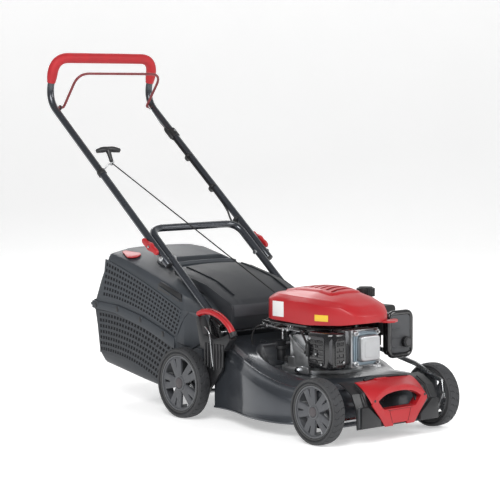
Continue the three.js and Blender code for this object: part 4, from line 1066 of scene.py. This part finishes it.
def add_cowl():
    low = lambda y: along(COWL_LOW, y)
    crease = lambda y: along(COWL_CREASE, y)
    shoulder = lambda y: along(COWL_SHOULDER, y)
    rings = [
        cowl_ring(0.965, lambda y: low(y) + 18), cowl_ring(0.965, low),
        cowl_ring(0.975, lambda y: low(y) - 0.8),
        cowl_ring(0.998, low), cowl_ring(1.0, lambda y: low(y) + 2),
        cowl_ring(1.0, lambda y: (low(y) + crease(y)) / 2), cowl_ring(0.998, lambda y: crease(y) - 2),
        cowl_ring(0.988, lambda y: crease(y) + 1),
        cowl_ring(0.93, lambda y: (crease(y) + shoulder(y)) / 2 + 1),
        cowl_ring(0.87, lambda y: shoulder(y) - 0.8),
        cowl_ring(SHOULDER_SHARE, lambda y: shoulder(y) + 0.8),
    ]
    rings += [cowl_ring(share, dome(share)) for share in np.linspace(0.81, 0.03, 15)]
    make("cowl", loft(rings), "chassis", *RED, "engine_cowl", sharp=24)

    def grid(rise):
        rows = []
        for y in np.linspace(PAD["front"] - 1, PAD["rear"] + 1, 44):
            row = []
            for x in np.linspace(-PAD["half"] - 1, PAD["half"] + 1, 26):
                share = cowl_share(x, y)
                row.append(Vector((x, y, dome(share)(y) + rise(x, y))))
            rows.append(row)
        return rows

    pad = make("cowl_pad", sheet(grid(pad_lift), 5), "chassis", *RED)
    slots = []
    for k in range(8):
        turn = Matrix.Translation((0, 134 + 22 * k, 380)) @ Matrix.Rotation(math.radians(9), 4, "Z")
        slots.append(moved(plate(round_outline([(-46, -5), (46, -5), (46, 5), (-46, 5)], 4.5), (),
                                 60, 0, ((1, 0, 0), (0, 1, 0), (0, 0, 1)), (0, 0, -30)), turn))
    carve(pad, *slots)
    make("cowl_screen", sheet(grid(lambda x, y: 0.7 if pad_lift(x, y) > 2 else -2), 1.5),
         "chassis", *BLACK)
    fin = [(28, 24), (100, 34), (99, 20), (82, 2), (60, -9), (40, -4)]
    make("cowl_fin", plate(round_outline(fin, 5), (), 5, 1.2, ((1, 0, 0), (0, 1, 0), (0, 0, 1)),
                           (0, 0, 299)), "chassis", *RED)
    make("label_side", block((-113.2, 248, 306), (-112.1, 293, 348)), "chassis", MAT["white"],
         "red_plastic", bevel=0.3)
    patch = block((-21, -0.5, -8.5), (21, 0.9, 8.5))
    turn = math.atan2(126 - 86, -107 + 95.5)
    make("label_front", moved(patch, Matrix.Translation((-102.3, 106.5, 314))
                              @ Matrix.Rotation(turn, 4, "Z")), "chassis", MAT["yellow"],
         "red_plastic", bevel=0.3)
    make("rope_bush", moved(lathe([(3, 0), (8, 0), (8, 7), (6, 9), (3, 9)], 24),
                            Matrix.Translation((-48, 350, 352)) @ Matrix.Rotation(-0.5, 4, "X")),
         "chassis", *BLACK)


add_cowl()

# ---------------------------------------------------------------- grass box
BOX_SIDE = [(474, 140), (560, 144), (572, 150), (600, 182), (612, 185), (654, 187), (1046, 185)]
BOX_SHOULDER = [(474, 262), (560, 318), (610, 350), (654, 370), (845, 424), (948, 446), (958, 444),
                (1000, 372), (1034, 300)]
BOX_CROWN = [(474, 318), (560, 364), (610, 380), (654, 392), (845, 444), (948, 458.5), (962, 455),
             (1000, 384), (1034, 306)]
BOX_RIM = [(474, 200), (560, 196), (635, 218), (687, 237), (797, 269), (911, 290), (1046, 296)]
BOX_RIM_LOW = [(600, 172), (654, 193), (770, 230), (921, 265), (1046, 273)]
BOX_UNDER = [(474, 108), (566, 100), (610, 84), (729, 64), (802, 74), (993, 105), (1013, 125),
             (1032, 246), (1040, 272)]


def box_rings(ys, side):
    return [ring_of([Vector((x, y, z)) for x, z in side(y)]) for y in ys]


def upper_side(y):
    h, shoulder, crown = along(BOX_SIDE, y), along(BOX_SHOULDER, y), along(BOX_CROWN, y)
    low = along(BOX_RIM, y) - 8
    half = [(0, low), (h - 1, low), (h, low + 1), (h, (low + shoulder) / 2), (h, shoulder - 24)]
    half += [(h - 2, shoulder - 12), (h - 7, shoulder - 4), (h - 14, shoulder - 1)]
    half += [(min(118, h - 20), crown - 3), (80, crown - 0.6), (40, crown), (0, crown + 0.3)]
    return half


def lower_side(y):
    h, low = along(BOX_SIDE, y) - 2, along(BOX_UNDER, y)
    high = along(BOX_RIM, y) - 9
    half = [(0, high), (h - 1, high), (h, high - 1), (h, (high + low) / 2), (h - 1, low + 26)]
    half += [(h - 5, low + 14), (h - 14, low + 5), (h - 28, low + 1), (60, low), (0, low)]
    return half


def side_panel(name, corners, rows, cols, bows, mat):
    """A raised panel of small square holes on each side of the box, over a black sheet of painted shade
    that darkens the holes' floors.
    """
    top_rear, top_front, low_rear, low_front = [Vector(c) for c in corners]

    def at(col, row):
        u, v = col / (cols - 1), row / (rows - 1)
        top = top_rear.lerp(top_front, u)
        low = low_rear.lerp(low_front, u)
        bow = (bows[0] + (bows[1] - bows[0]) * v) * 4 * u * (1 - u)
        point = top.lerp(low, v)
        return point.x, point.y + bow

    def put(col, row, out):
        y, z = at(col, row)
        return Vector((-along(BOX_SIDE, y) - out, y, z))

    out, deep = 2.2, 0.3
    verts, faces = [], []

    def add(points):
        start = len(verts)
        verts.extend(points)
        return list(range(start, start + len(points)))

    for row in range(rows):
        for col in range(cols):
            edge = []
            for dc, dr in ((-0.5, -0.5), (0.5, -0.5), (0.5, 0.5), (-0.5, 0.5)):
                reach_c = 0.82 if (col == 0 and dc < 0) or (col == cols - 1 and dc > 0) else 0.5
                reach_r = 0.72 if (row == 0 and dr < 0) or (row == rows - 1 and dr > 0) else 0.5
                edge.append((col + math.copysign(reach_c, dc), row + math.copysign(reach_r, dr)))
            hole = [(col + a * 0.31, row + b * 0.27) for a, b in ((-1, -1), (1, -1), (1, 1), (-1, 1))]
            o = add([put(c, r, out) for c, r in edge])
            h = add([put(c, r, out) for c, r in hole])
            d = add([put(c, r, deep) for c, r in hole])
            s = add([put(c, r, -1) for c, r in edge])
            for k in range(4):
                n = (k + 1) % 4
                faces.append((o[k], o[n], h[n], h[k]))
                faces.append((h[k], h[n], d[n], d[k]))
                border = ((k == 0 and row == 0) or (k == 1 and col == cols - 1)
                          or (k == 2 and row == rows - 1) or (k == 3 and col == 0))
                if border:
                    faces.append((o[n], o[k], s[k], s[n]))
    panel = (verts, faces)
    # the black sheet just under the holes' floors: painted shade
    shade_sheet_verts = [put(c, r, deep + 0.25) for r in (-0.6, (rows - 1) / 2, rows - 0.4)
                  for c in np.linspace(-0.7, cols - 0.3, 12)]
    shade_sheet_faces = [(i * 12 + j, i * 12 + j + 1, (i + 1) * 12 + j + 1, (i + 1) * 12 + j)
                  for i in range(2) for j in range(11)]
    for side, flip in (("right", False), ("left", True)):
        shapes = [panel, (shade_sheet_verts, shade_sheet_faces)]
        if flip:
            shapes = [mirrored(s) for s in shapes]
        make(f"{name}_{side}", shapes[0], "grass_box", MAT[mat], "box_plastic", sharp=40)
        make(f"{name}_dark_{side}", shapes[1], "grass_box", MAT["shade"], "box_plastic")


def add_box():
    rear = [948, 953, 958, 964, 975, 1000, 1020, 1034]
    ys = [474, 500, 530, 560, 572, 586, 600, 612, 632, 654, 690, 730, 770, 800, 845, 900, 930] + rear
    upper = make("box_top", loft(box_rings(ys, upper_side)), "grass_box", *BOX,
                 "box_upper", bevel=1.5, sharp=30)
    hole = plate(round_outline([(-126, 742), (126, 742), (126, 798), (-126, 798)], 26), (), 220, 0,
                 ((1, 0, 0), (0, 1, 0), (0, 0, 1)), (0, 0, 380))
    carve(upper, hole)
    # a black tray under the hand hole: painted shade in the hole
    make("box_hand_tray", block((-132, 736, 352), (132, 804, 372)), "grass_box", *BOX_PAINTED_SHADE, bevel=4)
    ridge = lambda x, y, up: Vector((x, y, np.interp(abs(x), [0, 40, 118, 173],
                                     [along(BOX_CROWN, y), along(BOX_CROWN, y),
                                      along(BOX_CROWN, y) - 3, along(BOX_SHOULDER, y) - 1]) + up))
    rim = [ridge(x, y, 1.0) for x, y in [(p[0], p[1]) for p in round_outline(
        [(-130, 738), (130, 738), (130, 802), (-130, 802)], 29, 6)]]
    make("box_hand_rim", sweep(rim + rim[:2], 3.6, 10), "grass_box", *BOX)
    bar = [ridge(x, 741, 2.5) for x in np.linspace(-124, 124, 24)]
    make("box_hand_bar", sweep(bar, 8.5, 16), "grass_box", *BOX)
    under = [474, 500, 530, 566, 586, 610, 640, 680, 729, 760, 802, 860, 920, 993, 1004, 1013, 1024,
             1032, 1040]
    make("box_bottom", loft(box_rings(under, lower_side)), "grass_box", MAT["box_dark"],
         "box_plastic", "box_lower", bevel=1.5, sharp=30)
    side_panel("box_mesh_top", ((963, 409), (606, 291), (980, 319), (636, 234)), 6, 27, (9, 16), "box")
    side_panel("box_mesh_low", ((1000, 256), (664, 187), (996, 153), (723, 98)), 7, 24, (17, 13),
               "box_dark")
    # the lip where the shells meet
    for side in (-1, 1):
        ring = []
        for y in list(range(1040, 640, -20)) + [636]:
            ring.append((y, along(BOX_RIM_LOW, y), along(BOX_RIM, y)))
        rings = []
        for y, low, high in ring:
            x = side * along(BOX_SIDE, y)
            rings.append([Vector((x - side * 4, y, low)), Vector((x + side * 4.2, y, low + 1)),
                          Vector((x + side * 5, y, low + 4)), Vector((x + side * 5, y, high - 3)),
                          Vector((x + side * 3.6, y, high)), Vector((x - side * 4, y, high))])
        name = "right" if side < 0 else "left"
        make(f"box_lip_{name}", loft(rings), "grass_box", *BOX)
        front = [(636, 220), (604, 300), (572, 292), (560, 262), (566, 205), (600, 176), (640, 190)]
        panel = []
        for out in (-2, 3.2):
            panel.append([Vector((side * (along(BOX_SIDE, y) + out), y, z)) for y, z in front])
        make(f"box_cheek_{name}", loft(panel), "grass_box", *BOX, bevel=0.8)
        for k, y in enumerate((1020, 911, 797, 687)):
            z = along(BOX_RIM, y)
            x = side * (along(BOX_SIDE, y) + 4.8)
            # a black block in each notch of the rim: painted shade
            notch = block((x - 1.5, y - 5, z - 19), (x + 1.5, y + 5, z - 3))
            make(f"box_notch_{name}_{k}", notch, "grass_box", *BOX_PAINTED_SHADE, bevel=0.6)
            clip = block((x - 1.2, y - 13, z - 9), (x + 2, y - 4, z - 2))
            make(f"box_clip_{name}_{k}", clip, "grass_box", *BOX, bevel=0.8)
        # the side groove drawn in black: a painted shadow gap
        groove = [(716, 360), (712, 376), (700, 382), (610, 352), (606, 330), (620, 330)]
        dark = [[Vector((side * (along(BOX_SIDE, y) + out), y, z - 6)) for y, z in groove]
                for out in (-3, 1.2)]
        make(f"box_groove_{name}", loft(dark), "grass_box", *BOX_PAINTED_SHADE, bevel=0.8)
        line = [Vector((side * (along(BOX_SIDE, y) + 2.0), y, z)) for y, z in
                ((708, 363), (660, 346), (612, 328))]
        make(f"box_groove_line_{name}", sweep(refined(line, 12), 1.6, 8), "grass_box", *BOX)
    lip = [Vector((x, 1044, 285)) for x in np.linspace(-184, 184, 20)]
    make("box_lip_rear", sweep(lip, 1, 4, [Vector((-4, -11)), Vector((4, -11)), Vector((4, 10)),
                                           Vector((-4, 10))]), "grass_box", *BOX)


add_box()

# ---------------------------------------------------------------- finer copies of CAD nodes
BODY_OF = {node: body for body, nodes in frame["record"]["behaviour"]["bodies"].items()
           for node in nodes}
SLOT_OF = {row["node"]: row["material_slot"] for row in frame["record"]["subparts"]}


def node_shape(name):
    """A CAD node's own shape with its flat faces merged, in millimetres."""
    node = frame["nodes"][name]
    bm = bmesh.new()
    bm.from_mesh(node.data)
    bm.transform(node.matrix_world)
    bmesh.ops.remove_doubles(bm, verts=bm.verts, dist=0.01 * MM)
    bmesh.ops.dissolve_limit(bm, angle_limit=math.radians(2), verts=bm.verts, edges=bm.edges)
    verts = [v.co / MM - Vector((0, HUB, 0)) for v in bm.verts]
    bm.verts.index_update()
    faces = [tuple(v.index for v in f.verts) for f in bm.faces]
    bm.free()
    return verts, faces


def refine(name, bevel=0.8, mat=None, sharp=30):
    """The CAD node again with its edges rounded over."""
    slot = SLOT_OF[name]
    return make(f"{name}_fine", node_shape(name), BODY_OF[name], MAT[mat or SLOT_LOOKS[slot]], slot,
                name, bevel=bevel, sharp=sharp)


FLAT = ((1, 0, 0), (0, 1, 0), (0, 0, 1))  # drawn in x and y, thick upwards


def hex_bolt(name, at, axis, size, body, mat="steel"):
    """A hexagon bolt head with a washer, its axis along a direction."""
    turn = Vector(axis).to_track_quat("Z", "Y").to_matrix().to_4x4()
    head = lathe([(0, 1.5), (size * 0.5, 1.5), (size * 0.5, 1.5 + size * 0.5),
                  (size * 0.42, 2 + size * 0.6),
                  (0, 2 + size * 0.6)], 6)
    washer = lathe([(0, 0), (size * 0.72, 0), (size * 0.72, 1.5), (0, 1.5)], 20)
    shape = moved(shape_join(head, washer), Matrix.Translation(at) @ turn)
    make(name, shape, body, MAT[mat], "steel", sharp=25)


# ---------------------------------------------------------------- engine
def add_engine():
    refine("engine_block", 1.2)
    refine("cylinder_head", 0.6)
    refine("carburettor", 1.2)
    refine("muffler", 2)
    refine("flywheel", 0.8)
    refine("crankshaft", 0.6)
    refine("starter_drum", 0.8)
    for k in range(6):
        turn = math.radians(15 + 60 * k)
        hex_bolt(f"flange_bolt_{k}", (100 * math.cos(turn), CUT_Y + 100 * math.sin(turn), 166.5),
                 (0, 0, 1), 11, "chassis")
    ribs = []
    for k in range(14):
        turn = 2 * math.pi * (k + 0.5) / 14
        if math.sin(turn) < -0.8:
            continue
        rib = block((74, -2, 172), (88, 2, 246))
        ribs.append(moved(rib, Matrix.Translation((0, CUT_Y, 0)) @ Matrix.Rotation(turn, 4, "Z")))
    make("case_ribs", shape_join(*ribs), "chassis", *ALLOY, bevel=1)
    ring = lathe([(60, 266), (104, 268), (107, 276), (104, 290), (60, 290)], 48,
                 centre=(0, CUT_Y, 0), closed=True)
    make("fan_housing", ring, "chassis", *ENAMEL, bevel=1.5)
    # silver shield and tube beside the muffler
    shield = round_outline([(150, 176), (178, 172), (214, 176), (236, 250), (212, 262), (160, 262)], 8)
    make("side_shield", plate(shield, (), 3, 0.6, ALONG_X, (-98, 0, 0)), "chassis", *ALLOY)
    tube = spline([Vector(p) for p in ((-100, 234, 256), (-106, 214, 244), (-108, 190, 228),
                                       (-112, 160, 218))], 6)
    make("breather_tube", sweep(tube, 5, 16), "chassis", *STEEL)
    flange = round_outline([(150, 158), (196, 158), (204, 166), (196, 176), (150, 176)], 5)
    make("exhaust_foot", plate(flange, (), 5, 1, ALONG_X, (-112, 0, 0)), "chassis", *ALLOY)
    hex_bolt("exhaust_bolt_low", (-112, 190, 166), (-1, 0, 0), 12, "chassis")


def add_muffler_guard():
    plan = round_outline([(-73, 135), (-73, 39), (-112, 39), (-130, 58), (-130, 135)],
                         [4, 6, 12, 14, 12], 5)
    make("guard_shell", plate(plan, (), 98, 9, FLAT, (0, 0, 181)), "chassis", *ENAMEL,
         "muffler_guard", sharp=40)
    edge = round_outline([(65, 190), (128, 190), (130, 262), (122, 268), (65, 268)], 9)
    holes = [round_outline([(y - 13, z - 3.4), (y + 13, z - 3.4), (y + 13, z + 3.4), (y - 13, z + 3.4)], 3)
             for z in (201, 216, 229, 242, 256) for y in (80, 111)]
    make("guard_panel", plate(edge, holes, 3, 1, ALONG_X, (-132.6, 0, 0)), "chassis",
         MAT["panel"], "black_enamel")
    front = round_outline([(-114, 192), (-82, 192), (-82, 262), (-114, 262)], 6)
    slots = [round_outline([(x - 6, z - 3.6), (x + 6, z - 3.6), (x + 6, z + 3.6), (x - 6, z + 3.6)], 2.4)
             for z in (203, 219, 235, 251) for x in (-105, -91)]
    make("guard_front", plate(front, slots, 2.4, 0.8, ALONG_Y, (0, 39.6, 0)), "chassis", *ENAMEL)
    for k, (at, axis) in enumerate((((-132.8, 120, 262), (-1, 0, 0)), ((-132.8, 96, 222), (-1, 0, 0)),
                                    ((-132.8, 74, 195), (-1, 0, 0)), ((-86, 36.6, 199), (0, -1, 0)))):
        turn = Vector(axis).to_track_quat("Z", "Y").to_matrix().to_4x4()
        dome_head = lathe([(0, 0), (4.2, 0), (4, 1.4), (2.4, 2.6), (0, 3)], 16)
        make(f"guard_screw_{k}", moved(dome_head, Matrix.Translation(at) @ turn), "chassis", *STEEL)
    boot = [Vector(p) for p in ((-133, 126, 214), (-135, 125, 222), (-136, 124, 234), (-134, 126, 244))]
    make("plug_boot", sweep(spline(boot, 5), 6.5, 20), "chassis", *BLACK)
    lead = [Vector(p) for p in ((-134, 126, 242), (-130, 140, 254), (-116, 168, 268), (-100, 200, 280),
                                (-86, 226, 292))]
    make("plug_lead", sweep(spline(lead, 6), 3.2, 12), "chassis", *CABLE)


def add_valve_cover():
    lug = [(-44, 186), (44, 186), (44, 278), (-44, 278)]
    make("valve_plate", plate(round_outline(lug, 11), (), 6, 1.5, ALONG_Y, (0, 46, 0)), "chassis",
         MAT["blue_alloy"], "cast_alloy", "valve_cover")
    rim = round_outline([(-41, 190), (41, 190), (41, 274), (-41, 274)], 12)
    inner = round_outline([(-35, 196), (35, 196), (35, 268), (-35, 268)], 10)
    make("valve_rim", plate(rim, [inner], 5, 1.2, ALONG_Y, (0, 41, 0)), "chassis",
         MAT["blue_alloy"], "cast_alloy")
    body = round_outline([(-35, 197), (35, 197), (35, 267), (-35, 267)], 12)
    make("valve_body", plate(body, (), 20, 5, ALONG_Y, (0, 40, 0)), "chassis", *BRIGHT, sharp=45)
    face = round_outline([(-24, 208), (24, 208), (24, 256), (-24, 256)], 8)
    make("valve_face", plate(face, (), 2, 0.8, ALONG_Y, (0, 21, 0)), "chassis", *BRIGHT)
    for k, (x, z) in enumerate(((-39, 191), (39, 191), (-39, 273), (39, 273))):
        boss = lathe([(0, 0), (8, 0), (8, 9), (6.5, 11), (0, 11)], 20)
        turn = Vector((0, -1, 0)).to_track_quat("Z", "Y").to_matrix().to_4x4()
        make(f"valve_boss_{k}", moved(boss, Matrix.Translation((x, 46, z)) @ turn), "chassis", *BRIGHT)
        hex_bolt(f"valve_bolt_{k}", (x, 36, z), (0, -1, 0), 7.5, "chassis")
    fins = [block((-56, 62 + 7 * k, 186), (-38, 65 + 7 * k, 280)) for k in range(5)]
    make("head_fins", shape_join(*fins), "chassis", *ALLOY, bevel=0.5)
    make("head_baffle", block((-66, 50, 190), (-52, 92, 244)), "chassis", *BLACK, bevel=2)


def add_filter():
    back = round_outline([(102, 197), (186, 197), (186, 316), (102, 316)], 20)
    make("filter_back", plate(back, (), 15, 3, ALONG_Y, (0, 82, 0)), "chassis", *BLACK, "air_filter_box")
    cover = round_outline([(107, 203), (181, 203), (181, 310), (107, 310)], 15)
    make("filter_cover", plate(cover, (), 13, 4, ALONG_Y, (0, 66, 0)), "chassis", MAT["grey"],
         "grey_plastic", "air_filter_cover")
    loop = round_outline([(102, 197), (186, 197), (186, 315), (102, 315)], 20, 8)
    ring = [Vector((p.x, 58, p.y)) for p in loop]
    make("filter_frame", sweep(ring + ring[:2], 7, 16), "chassis", MAT["gloss_black"], "black_plastic")
    for k, z in enumerate((222, 246, 270)):
        rib = round_outline([(112, z - 2), (146, z - 2), (146, z + 2), (112, z + 2)], 1.8)
        make(f"filter_rib_{k}", plate(rib, (), 2.5, 0.7, ALONG_Y, (0, 54, 0)), "chassis",
             MAT["grey"], "grey_plastic")
    turn = Vector((0, -1, 0)).to_track_quat("Z", "Y").to_matrix().to_4x4()
    at = Matrix.Translation((160, 53, 234)) @ turn
    teeth = []
    for k in range(48):
        r = 15 if k % 4 < 2 else 13.6
        teeth.append(Vector((r * math.cos(math.pi * k / 24), r * math.sin(math.pi * k / 24))))
    make("filter_knob_body", moved(plate(teeth, (), 12, 1), at), "filter_knob", *BLACK, "filter_knob")
    make("filter_knob_disc", moved(lathe([(0, 11), (10, 11), (9.4, 14.4), (0, 15)], 24), at),
         "filter_knob", MAT["panel"], "black_plastic")


def add_tank():
    refine("fuel_tank", 3, sharp=40)
    cap = node_box("fuel_cap")
    x, y = (cap[0].x + cap[1].x) / 2, (cap[0].y + cap[1].y) / 2
    ribs = []
    for k in range(144):
        r = 26 if k % 6 < 3 else 24.3
        ribs.append(Vector((r * math.cos(math.pi * k / 72), r * math.sin(math.pi * k / 72))))
    make("cap_body", plate(ribs, (), 23, 1.4, FLAT, (x, y, 350)), "fuel_cap", *BLACK, "fuel_cap")
    make("cap_top", lathe([(0, 371), (20, 371), (20, 375.4), (18.5, 376.6), (12, 376.2), (0, 376.2)], 40,
                          centre=(x, y, 0)), "fuel_cap", *BLACK)
    make("cap_collar", lathe([(12, 330), (21, 330), (21, 336), (17, 338), (17, 348), (12, 348)], 32,
                             centre=(x, y, 0), closed=True), "chassis", *BLACK)
    refine("oil_filler", 0.8)
    refine("oil_cap", 1.2)
    refine("control_plate", 0.8)
    refine("brake_lever", 0.6)


def add_linkage():
    """Throttle and brake rods, springs and their bracket under the cowl's right edge."""
    bars = (
        ((-104, 345, 279), (-106, 300, 277), 2.2), ((-108, 318, 276), (-108, 252, 272), 2.6),
        ((-106, 258, 274), (-108, 172, 271), 2.2), ((-104, 262, 270), (-108, 257, 245), 2.6),
        ((-100, 290, 284), (-100, 200, 281), 1.8),
    )
    for k, (a, b, r) in enumerate(bars):
        make(f"link_rod_{k}", rod(a, b, r, 12, 0.6), "chassis", *STEEL)
    for k, at in enumerate(((-106, 322, 276), (-108, 254, 272), (-108, 236, 273), (-108, 176, 271))):
        make(f"link_eye_{k}", rod((at[0] - 4, at[1], at[2]), (at[0] + 5, at[1], at[2]), 5.5, 16, 1),
             "chassis", *STEEL)
    coil = [Vector((-104 + 4 * math.cos(t), 214 + 4.2 * t / 3, 279 + 4 * math.sin(t)))
            for t in np.linspace(0, 18, 90)]
    make("link_spring", sweep(coil, 0.8, 8), "chassis", *STEEL)
    plate_line = round_outline([(160, 284), (344, 284), (344, 290), (160, 290)], 2)
    make("link_bracket", plate(plate_line, (), 34, 1, ALONG_X, (-108, 0, 0)), "chassis", *ENAMEL)
    loop = spline([Vector(p) for p in ((-106, 322, 276), (-118, 352, 272), (-122, 368, 250),
                                       (-120, 372, 222), (-112, 366, 196))], 6)
    make("throttle_cable", sweep(loop, 2.6, 12), "chassis", *CABLE)


add_engine()
add_muffler_guard()
add_valve_cover()
add_filter()
add_tank()
add_linkage()


# ---------------------------------------------------------------- front cover and apron
COVER_FRONT = -90


def cover_surface(x, back):
    """A point of the hood: back runs from 0 at the arch's outer edge to 1 at its rear edge."""
    half = 104
    u = min(1.0, abs(x) / half)
    front_z = 146 - 40 * u ** 2.6
    rear_z = 158 - 3 * u
    y = -88 + 66 * back
    z = front_z + (rear_z - front_z) * (1 - (1 - back) ** 1.6)
    return Vector((x, y, z))


def add_cover():
    face = [(-53, 40), (53, 40), (102, 101), (99, 110), (84, 124), (56, 137), (24, 144), (0, 146),
            (-24, 144), (-56, 137), (-84, 124), (-99, 110), (-102, 101)]
    arch = round_outline([(-59, 86), (59, 86), (80, 110), (52, 126), (0, 133), (-52, 126), (-80, 110)],
                         [5, 5, 6, 30, 40, 30, 6], 6)
    shell = make("cover_face", plate(face, [arch], 6, 1.6, ALONG_Y, (0, COVER_FRONT + 6, 0)), "chassis",
                 *RED, "front_cover", sharp=40)
    carve(shell, block((-26, -120, 30), (26, -60, 47)))
    outer = [Vector((p.x * 1.04, (p.y - 108) * 1.08 + 108)) for p in arch]
    make("cover_tunnel", plate(outer, [arch], 26, 0.4, ALONG_Y, (0, COVER_FRONT + 28, 0)), "chassis",
         *RED, sharp=40)
    rows = [[cover_surface(x, back) for x in np.linspace(-103, 103, 31)]
            for back in np.linspace(0, 1, 10)]
    make("cover_hood", sheet(rows, 3), "chassis", *RED, bevel=0.8)
    step = block((-34, -34, 156), (8, -20, 160))
    make("cover_step", step, "chassis", *RED, bevel=1.2)
    for k, x in enumerate((-40, 40)):
        seam = [Vector((x * 0.98, COVER_FRONT - 0.2, 82)), Vector((x * 0.72, COVER_FRONT - 0.2, 48))]
        make(f"cover_seam_{k}", sweep(seam, 0.7, 8), "chassis", *RED_SEAM)
    seam = [Vector((-46, COVER_FRONT - 0.2, 82.5)), Vector((46, COVER_FRONT - 0.2, 82.5))]
    make("cover_seam_top", sweep(seam, 0.7, 8), "chassis", *RED_SEAM)
    # a black disc on the cover's face at each hole: painted shade in the holes
    for k, x in enumerate((-92, 92)):
        at = Matrix.Translation((x, COVER_FRONT + 0.4, 112)) @ Matrix.Rotation(math.pi / 2, 4, "X")
        make(f"cover_hole_{k}", moved(lathe([(0, 0), (3.6, 0), (3.6, 0.8), (0, 0.8)], 20), at), "chassis",
             *BLACK)
    refine("front_apron", 1.2, "black")
    for side in (-1, 1):
        name = "right" if side < 0 else "left"
        pads = ([(76, 46), (112, 46), (112, 92), (76, 60)], [(118, 46), (146, 46), (146, 98), (118, 98)])
        for k, pad in enumerate(pads):
            outline = [(side * x, z) for x, z in pad][::side]
            make(f"bumper_{name}_{k}",
                 plate(round_outline(outline, 3), (), 12, 2, ALONG_Y, (0, -74, 0)), "chassis",
                 MAT["grey"], "black_plastic")
        ridge = [Vector((side * x, y, z))
                 for x, y, z in ((118, -86, 100), (118, -66, 134), (116, -36, 153))]
        make(f"apron_ridge_{name}", sweep(refined(ridge, 8), 2.2, 8), "chassis", *BLACK)
    line = ((-70, -24, 157), (-20, -20, 160), (40, -20, 160), (90, -22, 156))
    channel = spline([Vector(p) for p in line], 6)
    make("apron_hose", sweep(channel, 4, 12), "chassis", *BLACK)


add_cover()


# ---------------------------------------------------------------- discharge flap
FLAP_LINE = [(431, 256), (429, 286), (428.5, 290), (430, 316), (436, 328), (452, 338), (545, 378),
             (620, 396), (692, 411)]


def flap_rows(rise):
    rows = []
    for y, z in FLAP_LINE:
        up = min(1.0, max(0.0, (y - 436) / 60))
        row = []
        for x in np.linspace(-143, 143, 25):
            crown = 9 * up * (1 - (x / 143) ** 2)
            droop = 5 * up * max(0, abs(x) / 143 - 0.85) / 0.15
            row.append(Vector((x, y - rise * (1 - up), z + crown - droop + rise * up)))
        rows.append(row)
    return rows


def add_flap():
    outer, inner = flap_rows(0), flap_rows(-3.4)
    cols = len(outer[0])
    verts = [p for row in outer for p in row] + [p for row in inner for p in row]
    under = len(outer) * cols
    faces = []
    for i in range(len(outer) - 1):
        for j in range(cols - 1):
            a = i * cols + j
            faces.append((a, a + 1, a + cols + 1, a + cols))
            faces.append((under + a, under + a + cols, under + a + cols + 1, under + a + 1))
    for j in range(cols - 1):
        last = (len(outer) - 1) * cols + j
        faces += [(j, under + j, under + j + 1, j + 1), (last, last + 1, under + last + 1, under + last)]
    for i in range(len(outer) - 1):
        for a, b in ((i * cols, (i + 1) * cols), ((i + 2) * cols - 1, (i + 1) * cols - 1)):
            faces.append((a, b, under + b, under + a))
    make("flap_skin", (verts, faces), "flap", *FLAP, "flap", bevel=0.8, sharp=28)
    band = [[Vector((x, y - 1.6, z)) for x in np.linspace(-138, 138, 12)]
            for y, z in ((428.6, 293), (430, 315), (434, 325))]
    verts = [p for row in band for p in row]
    faces = [(i * 12 + j, i * 12 + j + 1, (i + 1) * 12 + j + 1, (i + 1) * 12 + j)
             for i in range(2) for j in range(11)]
    make("flap_band", (verts, faces), "flap", MAT["stipple"], "black_plastic")
    for side in (-1, 1):
        name = "right" if side < 0 else "left"
        rib = [Vector((side * 104, y, z + 9 * (1 - (104 / 143) ** 2) * min(1, (y - 436) / 60) + 1.2))
               for y, z in ((470, 346), (545, 378), (620, 396), (684, 409.5))]
        make(f"flap_rib_{name}", sweep(spline(rib, 6), 2.4, 10), "flap", *FLAP)
        skirt = [(431, 258), (430, 318), (452, 336), (545, 375), (690, 407), (690, 396), (560, 352),
                 (470, 300), (446, 258)]
        make(f"flap_skirt_{name}", plate(round_outline(skirt, 3), (), 3, 0.8, ALONG_X,
                                         (side * 143 - 1.5, 0, 0)), "flap", *FLAP)
    refine("flap_pin", 0.4)


add_flap()


# ---------------------------------------------------------------- brackets, axles and height lever
def add_running_gear():
    for name in ("bracket_right", "bracket_left", "front_axle", "rear_axle", "height_link"):
        refine(name, 0.9, "gloss_black" if name.startswith("bracket") else None)
    for name in ("blade", "blade_holder", "blade_bolt"):
        refine(name, 0.6)


def add_lever():
    refine("height_lever", 2.5, "black", sharp=45)
    ribs = []
    for k in range(7):
        y = 386 + 13 * k
        low = 150 + 4 * abs(k - 3)
        rib = round_outline([(y - 2, low), (y + 2, low), (y + 3.4, 224), (y - 3.4, 224)], 1.6)
        ribs.append(plate(rib, (), 3, 0.6, ALONG_X, (-216.5, 0, 0)))
    make("lever_ribs", shape_join(*ribs), "rear_axle", *BLACK)
    path = spline([Vector(p) for p in ((-203, 506, 300), (-203, 482, 308), (-203, 450, 309.5),
                                       (-203, 410, 300), (-203, 376, 280), (-203, 354, 256))], 6)
    section = [Vector((math.cos(t) * (8.4 if abs(math.cos(t)) > 0.3 else 8.0), math.sin(t) * 9.6))
               for t in np.linspace(0, 2 * math.pi, 28)[:-1]]
    make("lever_grip", sweep(path, 1, 4, section), "rear_axle", *RED, "height_lever_grip", bevel=1.2)
    for side in (-5, 5):
        line = [p + Vector((side * 0.9, 0, 8.6)) for p in path[3:-3]]
        make(f"lever_grip_line_{'a' if side < 0 else 'b'}", sweep(line, 0.9, 8), "rear_axle", *RED_SEAM)
    tip = rod((-203, 357, 262), (-203, 351, 249), 10.5, 24, 2)
    make("lever_grip_end", tip, "rear_axle", *BLACK)
    wire = spline([Vector(p) for p in ((-212, 468, 268), (-217, 452, 262), (-218, 441, 250),
                                       (-217, 436, 220), (-216, 432, 180), (-214, 430, 160))], 6)
    make("lever_spring", sweep(wire, 1.7, 12), "rear_axle", *STEEL)


add_running_gear()
add_lever()


# ---------------------------------------------------------------- fill indicator
def add_indicator():
    refine("fill_indicator", 0.9)


add_indicator()
